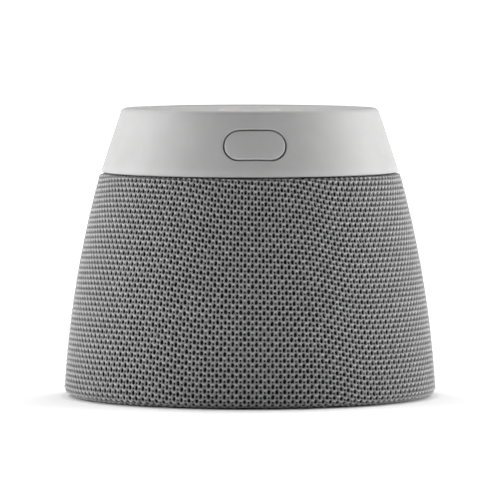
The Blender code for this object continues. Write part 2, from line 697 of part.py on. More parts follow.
def make_deck(looks, ring_screw_holes):
    """Deck that closes the grille frame and carries the main board on three posts."""
    spigot_radius = FRAME_TOP_HOLE_RADIUS - GAP
    rim_radius = SHOULDER_RADIUS - SHOULDER_ROLL - TUCK_WIDTH - GAP
    low = DECK_TOP - DECK_THICKNESS
    rim_low = DECK_TOP - DECK_RIM_THICKNESS
    profile = [
        (0, low),
        (spigot_radius, low),
        (spigot_radius, rim_low),
        (rim_radius, rim_low),
        (rim_radius, DECK_TOP),
        (0, DECK_TOP),
    ]
    deck = piece("electronics_deck", turned(profile, FRAME_SIDES), looks["black_plastic"])
    combine(deck, "DIFFERENCE", ring_screw_holes)

    post_top = MAIN_BOARD_HEIGHT - GAP
    hole_low = DECK_TOP + 2 * GAP
    places = [on_circle(BOARD_SCREW_CIRCLE, angle) for angle in (30, 150, 270)]
    posts = copies(rod(POST_RADIUS, DECK_TOP - 0.5 * MM, post_top, 10), places)
    holes = copies(rod(BOARD_SCREW_RADIUS + GAP, hole_low, HEIGHT, 8), places)
    hole_tool = tool("board_screw_holes", holes)
    combine(deck, "UNION", tool("deck_posts", posts))
    combine(deck, "DIFFERENCE", hole_tool)
    make_main_board(looks, places, hole_low, hole_tool)


def clipped_disc(radius, front, rear, sides=PLATE_SIDES):
    """Outline of a round board with straight front and rear edges."""
    return [(x, max(front, min(rear, y))) for x, y in circle(radius, sides)]


def make_main_board(looks, places, hole_low, hole_tool):
    """Main board with its screws and the wireless module's shield."""
    top = MAIN_BOARD_HEIGHT + BOARD_THICKNESS
    outline = clipped_disc(MAIN_BOARD_RADIUS, -MAIN_BOARD_FRONT, MAIN_BOARD_REAR)
    board = piece("main_board", prism(outline, MAIN_BOARD_HEIGHT, top), looks["circuit_board"])
    combine(board, "DIFFERENCE", hole_tool)
    mesh = screw_mesh(BOARD_SCREW_RADIUS, top - hole_low, 2.1 * MM, 1.3 * MM)
    for number, place in enumerate(places, 1):
        piece(f"board_screw_{number}", mesh, looks["steel"], place + Vector((0, 0, top + GAP)))
    shield = block(SHIELD_SIZE, top + GAP)
    piece("wireless_shield", shield, looks["tin"], (-6.0 * MM, 2.0 * MM, 0))


def behind(radius, across):
    """Distance behind the axis of a point on a circle, at a distance across from the middle."""
    return math.sqrt(radius ** 2 - across ** 2)


def socket_end(width):
    """Rear face of a socket's body, whose upper outer corner clears the ring's wall."""
    top = 2 * SOCKET_HEIGHT - (MAIN_BOARD_HEIGHT + BOARD_THICKNESS + GAP)
    return behind(ring_radius(top) - RING_WALL, (SOCKET_SPACING + width) / 2) - 2 * GAP


def make_sockets(looks, ring):
    """Round power inlet and audio socket on the main board, reaching into holes at the ring's back."""
    board_top = MAIN_BOARD_HEIGHT + BOARD_THICKNESS
    half_spacing = SOCKET_SPACING / 2
    sockets = (
        ("power_socket", 1, POWER_SOCKET_WIDTH, POWER_SOCKET_NOSE, POWER_SOCKET_BORE, POWER_SOCKET_PIN),
        ("audio_socket", -1, AUDIO_SOCKET_WIDTH, AUDIO_SOCKET_NOSE, AUDIO_SOCKET_BORE, 0),
    )
    for name, side, width, nose, bore, pin in sockets:
        location = (side * half_spacing, 0, SOCKET_HEIGHT)
        low = board_top + GAP - SOCKET_HEIGHT
        body_end = socket_end(width)
        nose_end = behind(ring_radius(SOCKET_HEIGHT + nose), half_spacing) - GAP
        body = block((width, SOCKET_LENGTH, -2 * low), low)
        body.transform(Matrix.Translation((0, body_end - SOCKET_LENGTH / 2, 0)))
        socket = piece(name, body, looks["black_plastic"], location)
        turn = (-math.pi / 2, 0, 0)
        tip = rod(nose, body_end - MM, nose_end, 16)
        combine(socket, "UNION", tool(f"{name}_nose", tip, location, rotation=turn))
        deep = body_end - SOCKET_BORE_DEPTH
        mouth = nose_end + MM
        pin_end = nose_end - MM
        hollow = [(0, deep), (bore, deep), (bore, mouth), (0, mouth)]
        if pin:
            hollow = [(pin, deep), (bore, deep), (bore, mouth), (0, mouth), (0, pin_end), (pin, pin_end)]
        combine(socket, "DIFFERENCE", tool(f"{name}_bore", turned_loop(hollow, 12), location, rotation=turn))
        hole = rod(nose + GAP, body_end + MM, 1.5 * RING_FOOT_RADIUS, 16)
        combine(ring, "DIFFERENCE", tool(f"{name}_hole", hole, location, rotation=turn))


def turned_loop(profile, sides):
    """Turned solid whose profile may run along the axis between its ends."""
    if profile[0][0] > 0:
        middle = [index for index, point in enumerate(profile) if point[0] == 0]
        start = middle[-1]
        profile = profile[start:] + profile[:start]
    return turned(profile, sides)


# ---------------------------------------------------------------- top ring and front button

def make_ring(looks, ring_screw_holes):
    """Conical ring that closes the top: rounded rim, ledge for the cover and flange on the deck."""
    tangent = HEIGHT - RING_TOP_ROUND * (1 - math.sin(RING_LEAN))
    rim_centre = (ring_radius(tangent) - RING_TOP_ROUND * math.cos(RING_LEAN), HEIGHT - RING_TOP_ROUND)
    seat = HEIGHT - COVER_EDGE_DROP - COVER_THICKNESS - GAP
    hole = COVER_RADIUS + GAP
    ledge_low = seat - LEDGE_THICKNESS
    flange_top = SEAM_HEIGHT + RING_FLANGE_THICKNESS
    step_radius = SHOULDER_RADIUS - SHOULDER_ROLL - RING_STEP_WIDTH
    foot = SEAM_HEIGHT + RING_FOOT_LIFT
    foot_radius = ring_radius(foot + RING_FOOT_CHAMFER)
    profile = [(foot_radius - RING_FOOT_CHAMFER, foot), (foot_radius, foot + RING_FOOT_CHAMFER)]
    profile += arc(rim_centre, RING_TOP_ROUND, math.degrees(RING_LEAN), 90, 3)
    profile += [
        (hole + COVER_CORNER, HEIGHT),
        (hole, HEIGHT - COVER_CORNER),
        (hole, seat),
        (hole - LEDGE_WIDTH, seat),
        (hole - LEDGE_WIDTH, ledge_low),
        (ring_radius(ledge_low) - RING_WALL, ledge_low),
        (ring_radius(flange_top) - RING_WALL, flange_top),
        (RING_FLANGE_RADIUS, flange_top),
        (RING_FLANGE_RADIUS, SEAM_HEIGHT),
        (step_radius, SEAM_HEIGHT),
        (step_radius, foot),
    ]
    ring = piece("top_ring", turned(profile, SHELL_SIDES), looks["silver_plastic"])
    combine(ring, "DIFFERENCE", ring_screw_holes)
    return ring


def make_ring_screws(looks):
    """Three screws that hold the ring and deck down on the grille frame; returns their hole shape."""
    head_seat = SEAM_HEIGHT + RING_FLANGE_THICKNESS + GAP
    tip = FRAME_TOP - FRAME_THICKNESS - 0.5 * MM
    places = [on_circle(RING_SCREW_CIRCLE, angle) for angle in (0, 120, 240)]
    holes = copies(rod(RING_SCREW_RADIUS + GAP / 2, tip - MM, head_seat + MM, 8), places)
    shaft_radius = RING_SCREW_RADIUS - GAP / 2
    mesh = screw_mesh(shaft_radius, head_seat - tip, RING_SCREW_HEAD_RADIUS, RING_SCREW_HEAD_HEIGHT)
    for number, place in enumerate(places, 1):
        piece(f"ring_screw_{number}", mesh, looks["steel"], place + Vector((0, 0, head_seat)))
    return tool("ring_screw_holes", holes)


def ring_skin(outer_depth, inner_depth):
    """Part of the ring's wall between two depths below its outer surface."""
    low = SEAM_HEIGHT
    profile = [
        (ring_radius(low) - inner_depth, low),
        (ring_radius(low) - outer_depth, low),
        (ring_radius(HEIGHT) - outer_depth, HEIGHT),
        (ring_radius(HEIGHT) - inner_depth, HEIGHT),
    ]
    return turned(profile, SHELL_SIDES)


def make_front_button(looks, ring):
    """Pill button in the ring's front, with its switch on a small board behind it.

    The axis empty sits on the ring's surface at the button's centre: X right, Y up the slope, Z out.
    """
    location = (0, -ring_radius(FRONT_BUTTON_HEIGHT), FRONT_BUTTON_HEIGHT)
    axis = axis_empty("front_button_axis", location, (math.pi / 2 - RING_LEAN, 0, 0))
    width = FRONT_BUTTON_WIDTH
    tall = FRONT_BUTTON_TALL
    slit = 2 * FRONT_BUTTON_SLIT
    lip = 2 * (FRONT_BUTTON_SLIT + BUTTON_LIP)
    reach = 8.0 * MM
    hole = prism(stadium(width + slit, tall + slit), -reach, reach)
    combine(ring, "DIFFERENCE", tool("front_button_hole", hole, parent=axis))

    pill = prism(stadium(width, tall), -reach, reach)
    cap = piece("front_button", pill, looks["silver_plastic"], parent=axis)
    flange = tool("front_button_lip", prism(stadium(width + lip, tall + lip), -reach, reach), parent=axis)
    combine(flange, "INTERSECT", tool("lip_skin", ring_skin(RING_WALL + FRONT_LIP_GAP, FRONT_BUTTON_DEPTH)))
    combine(cap, "INTERSECT", tool("cap_skin", ring_skin(0, FRONT_BUTTON_DEPTH)))
    combine(cap, "UNION", flange)
    plunger_top = -RING_WALL
    plunger = rod(FRONT_PLUNGER_RADIUS, FRONT_PLUNGER_END, plunger_top)
    combine(cap, "UNION", tool("front_plunger", plunger, parent=axis))

    actuator_top = FRONT_PLUNGER_END - SWITCH_STROKE - 0.1 * MM
    body_top = actuator_top - 0.5 * MM
    body_low = body_top - FRONT_SWITCH_TALL
    body = block((FRONT_SWITCH_WIDTH, FRONT_SWITCH_WIDTH, FRONT_SWITCH_TALL), body_low)
    switch = piece("front_switch", body, looks["switch"], parent=axis)
    combine(switch, "UNION", tool("front_actuator", rod(1.2 * MM, body_low + MM, actuator_top), parent=axis))

    board_top = body_low - GAP
    board_low = board_top - FRONT_BOARD_THICKNESS
    boss_place = width / 2 + 4.35 * MM
    boss_top = -RING_WALL - 0.87 * MM
    places = [Vector((-boss_place, 0, 0)), Vector((boss_place, 0, 0))]
    bosses = copies(rod(FRONT_BOSS_RADIUS, board_top + GAP, boss_top), places)
    screw_radius = 0.9 * MM
    holes = copies(rod(screw_radius + GAP, board_low - MM, boss_top - 2.6 * MM, 8), places)
    hole_tool = tool("front_board_holes", holes, parent=axis)
    combine(ring, "UNION", tool("front_bosses", bosses, parent=axis))
    combine(ring, "DIFFERENCE", hole_tool)
    board = block((2 * boss_place + 5.4 * MM, FRONT_BOARD_TALL, FRONT_BOARD_THICKNESS), board_low)
    board = piece("front_switch_board", board, looks["circuit_board"], parent=axis)
    combine(board, "DIFFERENCE", hole_tool)
    mesh = screw_mesh(screw_radius, 4.6 * MM, 1.9 * MM, 1.2 * MM)
    for number, place in enumerate(places, 1):
        seat = place + Vector((0, 0, board_low - GAP))
        piece(f"front_board_screw_{number}", mesh, looks["steel"], seat, axis, (math.pi, 0, 0))


# ---------------------------------------------------------------- top cover and its buttons

def push_button_mesh(cap_radius, cap_top, lip_radius, lip_top, stem_low):
    """Turned push button: cap, retaining lip and stem, with a rounded upper edge."""
    edge = 0.3 * MM
    lip_low = lip_top - PUSH_LIP_THICKNESS
    profile = [
        (0, stem_low),
        (PUSH_STEM_RADIUS, stem_low),
        (PUSH_STEM_RADIUS, lip_low),
        (lip_radius, lip_low),
        (lip_radius, lip_top),
        (cap_radius, lip_top),
        (cap_radius, cap_top - edge),
        (cap_radius - edge, cap_top),
        (0, cap_top),
    ]
    return turned(profile)


def make_cover(looks):
    """Dished cover with four buttons, a light ring, two microphone holes and the control board."""
    hole_radius = TOP_BUTTON_RADIUS + TOP_BUTTON_SLIT
    light_inner = ACTION_BUTTON_RADIUS + GAP
    light_outer = light_inner + LIGHT_RING_WIDTH
    shares = spread(0, 1, 3)
    top = [(COVER_RADIUS * share, cover_height(COVER_RADIUS * share)) for share in shares]
    under = [(radius, height - COVER_THICKNESS) for radius, height in top]
    cover = piece("top_cover", turned(top + under[::-1], PLATE_SIDES), looks["silver_plastic"])

    board_top = CONTROL_BOARD_HEIGHT + BOARD_THICKNESS
    side_places = {
        "volume_down": on_circle(TOP_BUTTON_CIRCLE, 180),
        "volume_up": on_circle(TOP_BUTTON_CIRCLE, 0),
        "microphone_mute": on_circle(TOP_BUTTON_CIRCLE, 90),
    }
    microphone_places = [on_circle(MICROPHONE_CIRCLE, angle) for angle in (225, 315)]
    bottom = board_top + GAP
    cutters = (
        ("side_button_holes", copies(rod(hole_radius, bottom, HEIGHT, SMALL_SIDES), side_places.values())),
        ("light_ring_hole", rod(light_outer + GAP, bottom, HEIGHT, 24)),
        ("microphone_holes", copies(rod(MICROPHONE_RADIUS, bottom, HEIGHT, 6), microphone_places)),
    )
    for name, mesh in cutters:
        combine(cover, "DIFFERENCE", tool(name, mesh))

    stake_places = [on_circle(STAKE_CIRCLE, angle) for angle in (45, 135, 270)]
    stake_top = cover_height(0) - COVER_THICKNESS / 2
    melt_high = CONTROL_BOARD_HEIGHT - GAP
    melt_low = melt_high - 0.5 * MM
    stake = [
        (0, melt_low),
        (2 * STAKE_RADIUS, melt_low),
        (2 * STAKE_RADIUS, melt_high),
        (STAKE_RADIUS, melt_high),
        (STAKE_RADIUS, board_top + GAP),
        (STAKE_SHOULDER_RADIUS, board_top + GAP),
        (STAKE_SHOULDER_RADIUS, stake_top),
        (0, stake_top),
    ]
    combine(cover, "UNION", tool("board_stakes", copies(turned(stake, 10), stake_places)))
    stake_hole = rod(STAKE_RADIUS + GAP, CONTROL_BOARD_HEIGHT - MM, board_top + MM, 10)
    stake_holes = tool("stake_holes", copies(stake_hole, stake_places))
    body_end = min(socket_end(POWER_SOCKET_WIDTH), socket_end(AUDIO_SOCKET_WIDTH))
    rear = body_end - SOCKET_LENGTH - 2 * GAP
    outline = clipped_disc(CONTROL_BOARD_RADIUS, -CONTROL_BOARD_RADIUS, rear)
    board = piece("control_board", prism(outline, CONTROL_BOARD_HEIGHT, board_top), looks["circuit_board"])
    combine(board, "DIFFERENCE", stake_holes)

    switch_low = board_top + GAP
    switch_high = switch_low + TOP_SWITCH_TALL
    actuator_top = switch_high + ACTUATOR_RISE
    stem_low = actuator_top + SWITCH_STROKE
    light_low = stem_low + 1.1 * MM
    light_lip = cover_height(0) - COVER_THICKNESS - GAP
    light_top = cover_height(light_outer) + LIGHT_RING_RISE
    light = [
        (light_inner, light_low),
        (light_outer + LIGHT_RING_LIP, light_low),
        (light_outer + LIGHT_RING_LIP, light_lip),
        (light_outer, light_lip),
        (light_outer, light_top),
        (light_inner, light_top),
    ]
    piece("light_ring", turned(light, 24), looks["clear_plastic"])

    inner_edge = cover_height(TOP_BUTTON_CIRCLE - hole_radius - BUTTON_LIP) - COVER_THICKNESS
    side_top = cover_height(TOP_BUTTON_CIRCLE) + TOP_BUTTON_RISE
    side_lip = hole_radius + BUTTON_LIP
    side_mesh = push_button_mesh(TOP_BUTTON_RADIUS, side_top, side_lip, inner_edge - GAP, stem_low)
    for name, place in side_places.items():
        piece(f"{name}_button", side_mesh, looks["grey_plastic"], place)
    action_top = cover_height(0) + ACTION_BUTTON_RISE
    action_lip = light_inner + BUTTON_LIP
    action_mesh = push_button_mesh(ACTION_BUTTON_RADIUS, action_top, action_lip, light_low - GAP, stem_low)
    piece("action_button", action_mesh, looks["grey_plastic"])

    actuator = tool("top_actuator", rod(1.1 * MM, switch_low + 0.5 * MM, actuator_top, 8))
    for name, place in (*side_places.items(), ("action", Vector())):
        body = block((TOP_SWITCH_WIDTH, TOP_SWITCH_WIDTH, TOP_SWITCH_TALL), switch_low)
        switch = piece(f"{name}_switch", body, looks["switch"], place)
        helper = actuator.copy()
        helper.name = f"{name}_actuator"
        helper.location = place
        bpy.context.scene.collection.objects.link(helper)
        combine(switch, "UNION", helper)

    boot_top = cover_height(MICROPHONE_CIRCLE) - COVER_THICKNESS - 2 * GAP
    boot = tube(0.8 * MM, 2.6 * MM, board_top + GAP, boot_top, 8)
    for side, place in zip(("left", "right"), microphone_places):
        piece(f"microphone_boot_{side}", boot, looks["rubber"], place)


def make_looks():
    """Every surface of the speaker."""
    return {
        "fabric": material("knitted_fabric", (0.36, 0.36, 0.36), 0.9),
        "silver_plastic": material("silver_plastic", (0.55, 0.55, 0.54), 0.35),
        "grey_plastic": material("grey_plastic", (0.45, 0.45, 0.45), 0.45),
        "black_plastic": material("black_plastic", (0.03, 0.03, 0.03), 0.6),
        "clear_plastic": material("clear_plastic", (0.85, 0.88, 0.9), 0.3),
        "rubber": material("rubber", (0.04, 0.04, 0.04), 0.85),
        "steel": material("steel", (0.55, 0.55, 0.56), 0.35, 1.0),
        "tin": material("tin_plate", (0.65, 0.65, 0.66), 0.3, 1.0),
        "ferrite": material("ferrite", (0.07, 0.07, 0.075), 0.7),
        "copper": material("copper_wire", (0.72, 0.4, 0.24), 0.35, 1.0),
        "paper": material("black_paper", (0.05, 0.05, 0.05), 0.9),
        "cloth": material("spider_cloth", (0.5, 0.42, 0.22), 0.9),
        "circuit_board": material("circuit_board", (0.02, 0.16, 0.07), 0.5),
        "switch": material("switch_housing", (0.1, 0.1, 0.1), 0.5),
    }


def main():
    for thing in list(bpy.data.objects):
        bpy.data.objects.remove(thing, do_unlink=True)
    looks = make_looks()
    base_screw_holes = make_base(looks)
    ring_screw_holes = make_ring_screws(looks)
    driver_screw_holes = make_driver(looks)
    make_grille_frame(looks, ring_screw_holes)
    make_fabric_sleeve(looks)
    make_cabinet(looks, base_screw_holes, driver_screw_holes)
    make_deflector(looks)
    make_deck(looks, ring_screw_holes)
    ring = make_ring(looks, ring_screw_holes)
    make_front_button(looks, ring)
    make_sockets(looks, ring)
    make_cover(looks)


main()
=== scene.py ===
"""Looks of a fabric-covered smart speaker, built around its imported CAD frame."""

import math

import bmesh
import bpy
import numpy as np
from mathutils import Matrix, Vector
from mathutils.geometry import delaunay_2d_cdt


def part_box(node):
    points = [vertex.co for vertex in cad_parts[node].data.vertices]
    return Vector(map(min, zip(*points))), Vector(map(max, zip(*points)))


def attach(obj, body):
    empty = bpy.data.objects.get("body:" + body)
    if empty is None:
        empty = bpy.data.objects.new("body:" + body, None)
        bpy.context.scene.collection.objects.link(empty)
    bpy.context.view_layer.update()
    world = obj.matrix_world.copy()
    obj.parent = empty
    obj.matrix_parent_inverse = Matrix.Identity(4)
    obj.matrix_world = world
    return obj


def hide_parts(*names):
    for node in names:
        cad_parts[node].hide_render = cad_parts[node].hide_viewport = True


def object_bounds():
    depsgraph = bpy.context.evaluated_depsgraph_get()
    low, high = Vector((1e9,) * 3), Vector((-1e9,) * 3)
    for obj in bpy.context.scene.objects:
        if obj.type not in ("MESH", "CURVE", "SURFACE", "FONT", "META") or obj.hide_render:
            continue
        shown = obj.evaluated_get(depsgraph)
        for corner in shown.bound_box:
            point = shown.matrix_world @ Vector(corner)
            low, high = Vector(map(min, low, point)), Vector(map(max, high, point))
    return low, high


MM = 0.001

# Camera and studio, in metres from the middle of the speaker's foot.
CAMERA_DISTANCE = 2.0
CAMERA_HEIGHT = 0.155
CAMERA_TURN = math.radians(2.0)     # the camera stands a little to the left of the button's axis
CAMERA_AIM = 0.0511
CAMERA_LENS = 411.0
CAMERA_SENSOR = 36.0
FLOOR_GLOW = 0.9                    # light given off by the backdrop's floor, far from the speaker
FLOOR_GLOW_RANGE = (0.066, 1.5)     # distances from the speaker's axis over which it rises
FLOOR_GLOW_POWER = 0.3              # below one, so that most of the rise comes close to the speaker
SIDE_LIGHTS = (("left_softbox", (-1.7, 0.1, 0.35)), ("right_softbox", (1.7, 0.1, 0.35)))
SIDE_SIZE = (1.6, 1.2)
SIDE_POWER = 43.0
TOP_LIGHTS = (("top_left_softbox", (-0.9, 1.1, 1.5)), ("top_right_softbox", (0.9, 0.9, 1.5)))
TOP_SIZE = (1.0, 0.8)
TOP_POWER = 19.0
LIGHT_AIM = (0, 0, 0.06)
ROOM_LEVEL = 0.15                   # brightness of the room on the left-right middle plane
ROOM_BEHIND = 0.15                  # added behind the speaker, taken away in front of it
ROOM_SIDES = 0.12                   # added to the left and right
BACKDROP_LEVEL = 1.05
FLOOR_SIZE = 12.0
CLIP_END = 60.0

# Top ring, its rim and the button in it.
RING_SLOPE = 1 / 3
RING_LEAN = math.atan(RING_SLOPE)
RING_WALL = 2.53 * MM
RING_CHAMFER = 0.45 * MM
RIM_ROUND = 2.0 * MM
RING_SIDES = 216
BUTTON_RISE = 11.1 * MM             # button's centre above the ring's underside
BUTTON_WIDTH = 21.0 * MM
BUTTON_TALL = 10.3 * MM
BUTTON_SLIT = 0.45 * MM
BUTTON_LIP_DEPTH = 2.93 * MM
BUTTON_DEPTH = 3.9 * MM
BUTTON_LIP = 1.0 * MM
SEAM = 0.15 * MM                    # dark gap between the ring's wall and its underside
WALL_HOLE_EDGE = 0.35 * MM          # rounding of the holes in the ring's wall
FLANGE_THICKNESS = 1.8 * MM
FLANGE_RADIUS = 44.0 * MM
STEP_RADIUS = 51.0 * MM             # where the ring's underside steps up to the seam
SOCKET_NOSES = {"power_socket": 4.0 * MM, "audio_socket": 2.9 * MM}
BUTTON_EDGE = 0.5 * MM
BUTTON_LIP_EDGE = 0.1 * MM
GAP = 0.3 * MM
WELD_DISTANCE = 0.002 * MM

# Top cover and its buttons.
COVER_DISH = 0.5 * MM
COVER_THICKNESS = 1.6 * MM
COVER_LEDGE = 1.8 * MM              # width and thickness of the ledge that carries the cover
COVER_EDGE = 0.22 * MM
COVER_RINGS = (14, 40)              # radii in mm between which the cover's mesh is ringed
LIGHT_LIP = 1.6 * MM
LIGHT_WIDTH = 1.7 * MM
LIGHT_LIP_DEPTH = 2.0 * MM
LIGHT_ROUND = 0.4 * MM
TOP_BUTTON_RADIUS = 5.5 * MM
TOP_BUTTON_HOLE = 5.9 * MM
MICROPHONE_HOLE = 0.6 * MM
ACTION_BUTTON_DISH = 0.5 * MM
TOP_BUTTON_DISH = 0.3 * MM
TOP_BUTTON_ROUND = 0.45 * MM
TOP_BUTTON_DEPTH = 3.6 * MM
TOP_BUTTON_LIP = 0.9 * MM
STEM_RADIUS = 1.8 * MM
MARK_RISE = 0.12 * MM
MARK_ROOT = 0.1 * MM                # depth of a mark below the button's surface
MARK_LIFT = 0.02 * MM

# Foot ring: its width, and a shallow groove round its underside.
FOOT_WIDTH = 6.0 * MM
FOOT_ROUND = 0.5 * MM
GROOVE_INNER = 3.6 * MM
GROOVE_OUTER = 2.4 * MM
GROOVE_DEPTH = 0.4 * MM

# Knitted sleeve: a staggered pattern of large oval holes with a small hole between each two.
HEM_ROLL = 3.0 * MM
HEM_WIDTH = 2.6 * MM
SHOULDER_ROLL = 1.0 * MM
TUCK_WIDTH = 2.7 * MM
SIDE_ARC_RADIUS = 352.5 * MM
SHOULDER_RADIUS = 52.9 * MM
KNIT_COLUMNS = 148
KNIT_ROWS = 48
KNIT_SECTORS = 4
BACKING_DEPTH = 0.95 * MM
BACKING_SIDES = 192
BACKING_ROWS = 110
BACKING_EDGE = 0.35 * MM            # how far the backing stops short of the knit's two ends
BIG_HOLE_DEPTH = 0.45 * MM
UV_MARGINS = (0.02, 0.04)

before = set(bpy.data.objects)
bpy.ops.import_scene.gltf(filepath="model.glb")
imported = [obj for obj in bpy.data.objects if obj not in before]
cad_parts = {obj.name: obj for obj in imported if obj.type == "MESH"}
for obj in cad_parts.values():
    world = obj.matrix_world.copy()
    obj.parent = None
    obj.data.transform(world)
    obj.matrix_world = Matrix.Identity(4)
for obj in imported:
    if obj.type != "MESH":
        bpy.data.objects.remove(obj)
cad_box = [list(corner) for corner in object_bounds()]
rng = np.random.default_rng(7)


# ---------------------------------------------------------------- materials

class Look:
    """Node material: one Principled shader fed from the piece's own coordinates."""

    def __init__(self, name, **sockets):
        self.material = bpy.data.materials.new(name)
        self.material.use_nodes = True
        self.tree = self.material.node_tree
        self.shader = self.tree.nodes["Principled BSDF"]
        self.coordinates = self.node("ShaderNodeTexCoord").outputs["Object"]
        self.normal = None
        for socket, value in sockets.items():
            self.shader.inputs[socket.replace("_", " ")].default_value = value

    def node(self, kind, **settings):
        made = self.tree.nodes.new(kind)
        for name, value in settings.items():
            setattr(made, name, value)
        return made

    def feed(self, socket, source):
        if isinstance(source, bpy.types.NodeSocket):
            self.tree.links.new(source, socket)
        else:
            socket.default_value = source

    def noise(self, size, detail=2.0, stretch=(1, 1, 1), roughness=0.5):
        """Noise whose features are about size metres across."""
        mapping = self.node("ShaderNodeMapping")
        mapping.inputs["Scale"].default_value = [share / size for share in stretch]
        self.feed(mapping.inputs["Vector"], self.coordinates)
        texture = self.node("ShaderNodeTexNoise")
        texture.inputs["Scale"].default_value = 1.0
        texture.inputs["Detail"].default_value = detail
        texture.inputs["Roughness"].default_value = roughness
        self.feed(texture.inputs["Vector"], mapping.outputs[0])
        return texture.outputs["Fac"]

    def specks(self, size):
        """Cell pattern whose cells are about size metres across."""
        texture = self.node("ShaderNodeTexVoronoi")
        texture.inputs["Scale"].default_value = 1 / size
        self.feed(texture.inputs["Vector"], self.coordinates)
        return texture.outputs["Distance"]

    def ranged(self, factor, low, high, start=0.3, end=0.7):
        limits = self.node("ShaderNodeMapRange")
        for name, value in (("From Min", start), ("From Max", end), ("To Min", low), ("To Max", high)):
            limits.inputs[name].default_value = value
        self.feed(limits.inputs["Value"], factor)
        return limits.outputs[0]

    def blended(self, factor, first, second):
        mix = self.node("ShaderNodeMix", data_type="RGBA")
        self.feed(mix.inputs["Factor"], factor)
        self.feed(mix.inputs["A"], first)
        self.feed(mix.inputs["B"], second)
        return mix.outputs["Result"]

    def colour(self, factor, first, second, start=0.3, end=0.7):
        mixed = self.blended(self.ranged(factor, 0, 1, start, end), (*first, 1), (*second, 1))
        self.feed(self.shader.inputs["Base Color"], mixed)
        return self

    def roughen(self, factor, low, high):
        self.feed(self.shader.inputs["Roughness"], self.ranged(factor, low, high))
        return self

    def bump(self, height, depth, strength=1.0):
        node = self.node("ShaderNodeBump")
        node.inputs["Strength"].default_value = strength
        node.inputs["Distance"].default_value = depth
        self.feed(node.inputs["Height"], height)
        if self.normal:
            self.feed(node.inputs["Normal"], self.normal)
        self.normal = node.outputs[0]
        self.feed(self.shader.inputs["Normal"], self.normal)
        return self


def grey(value):
    return (value, value, value)


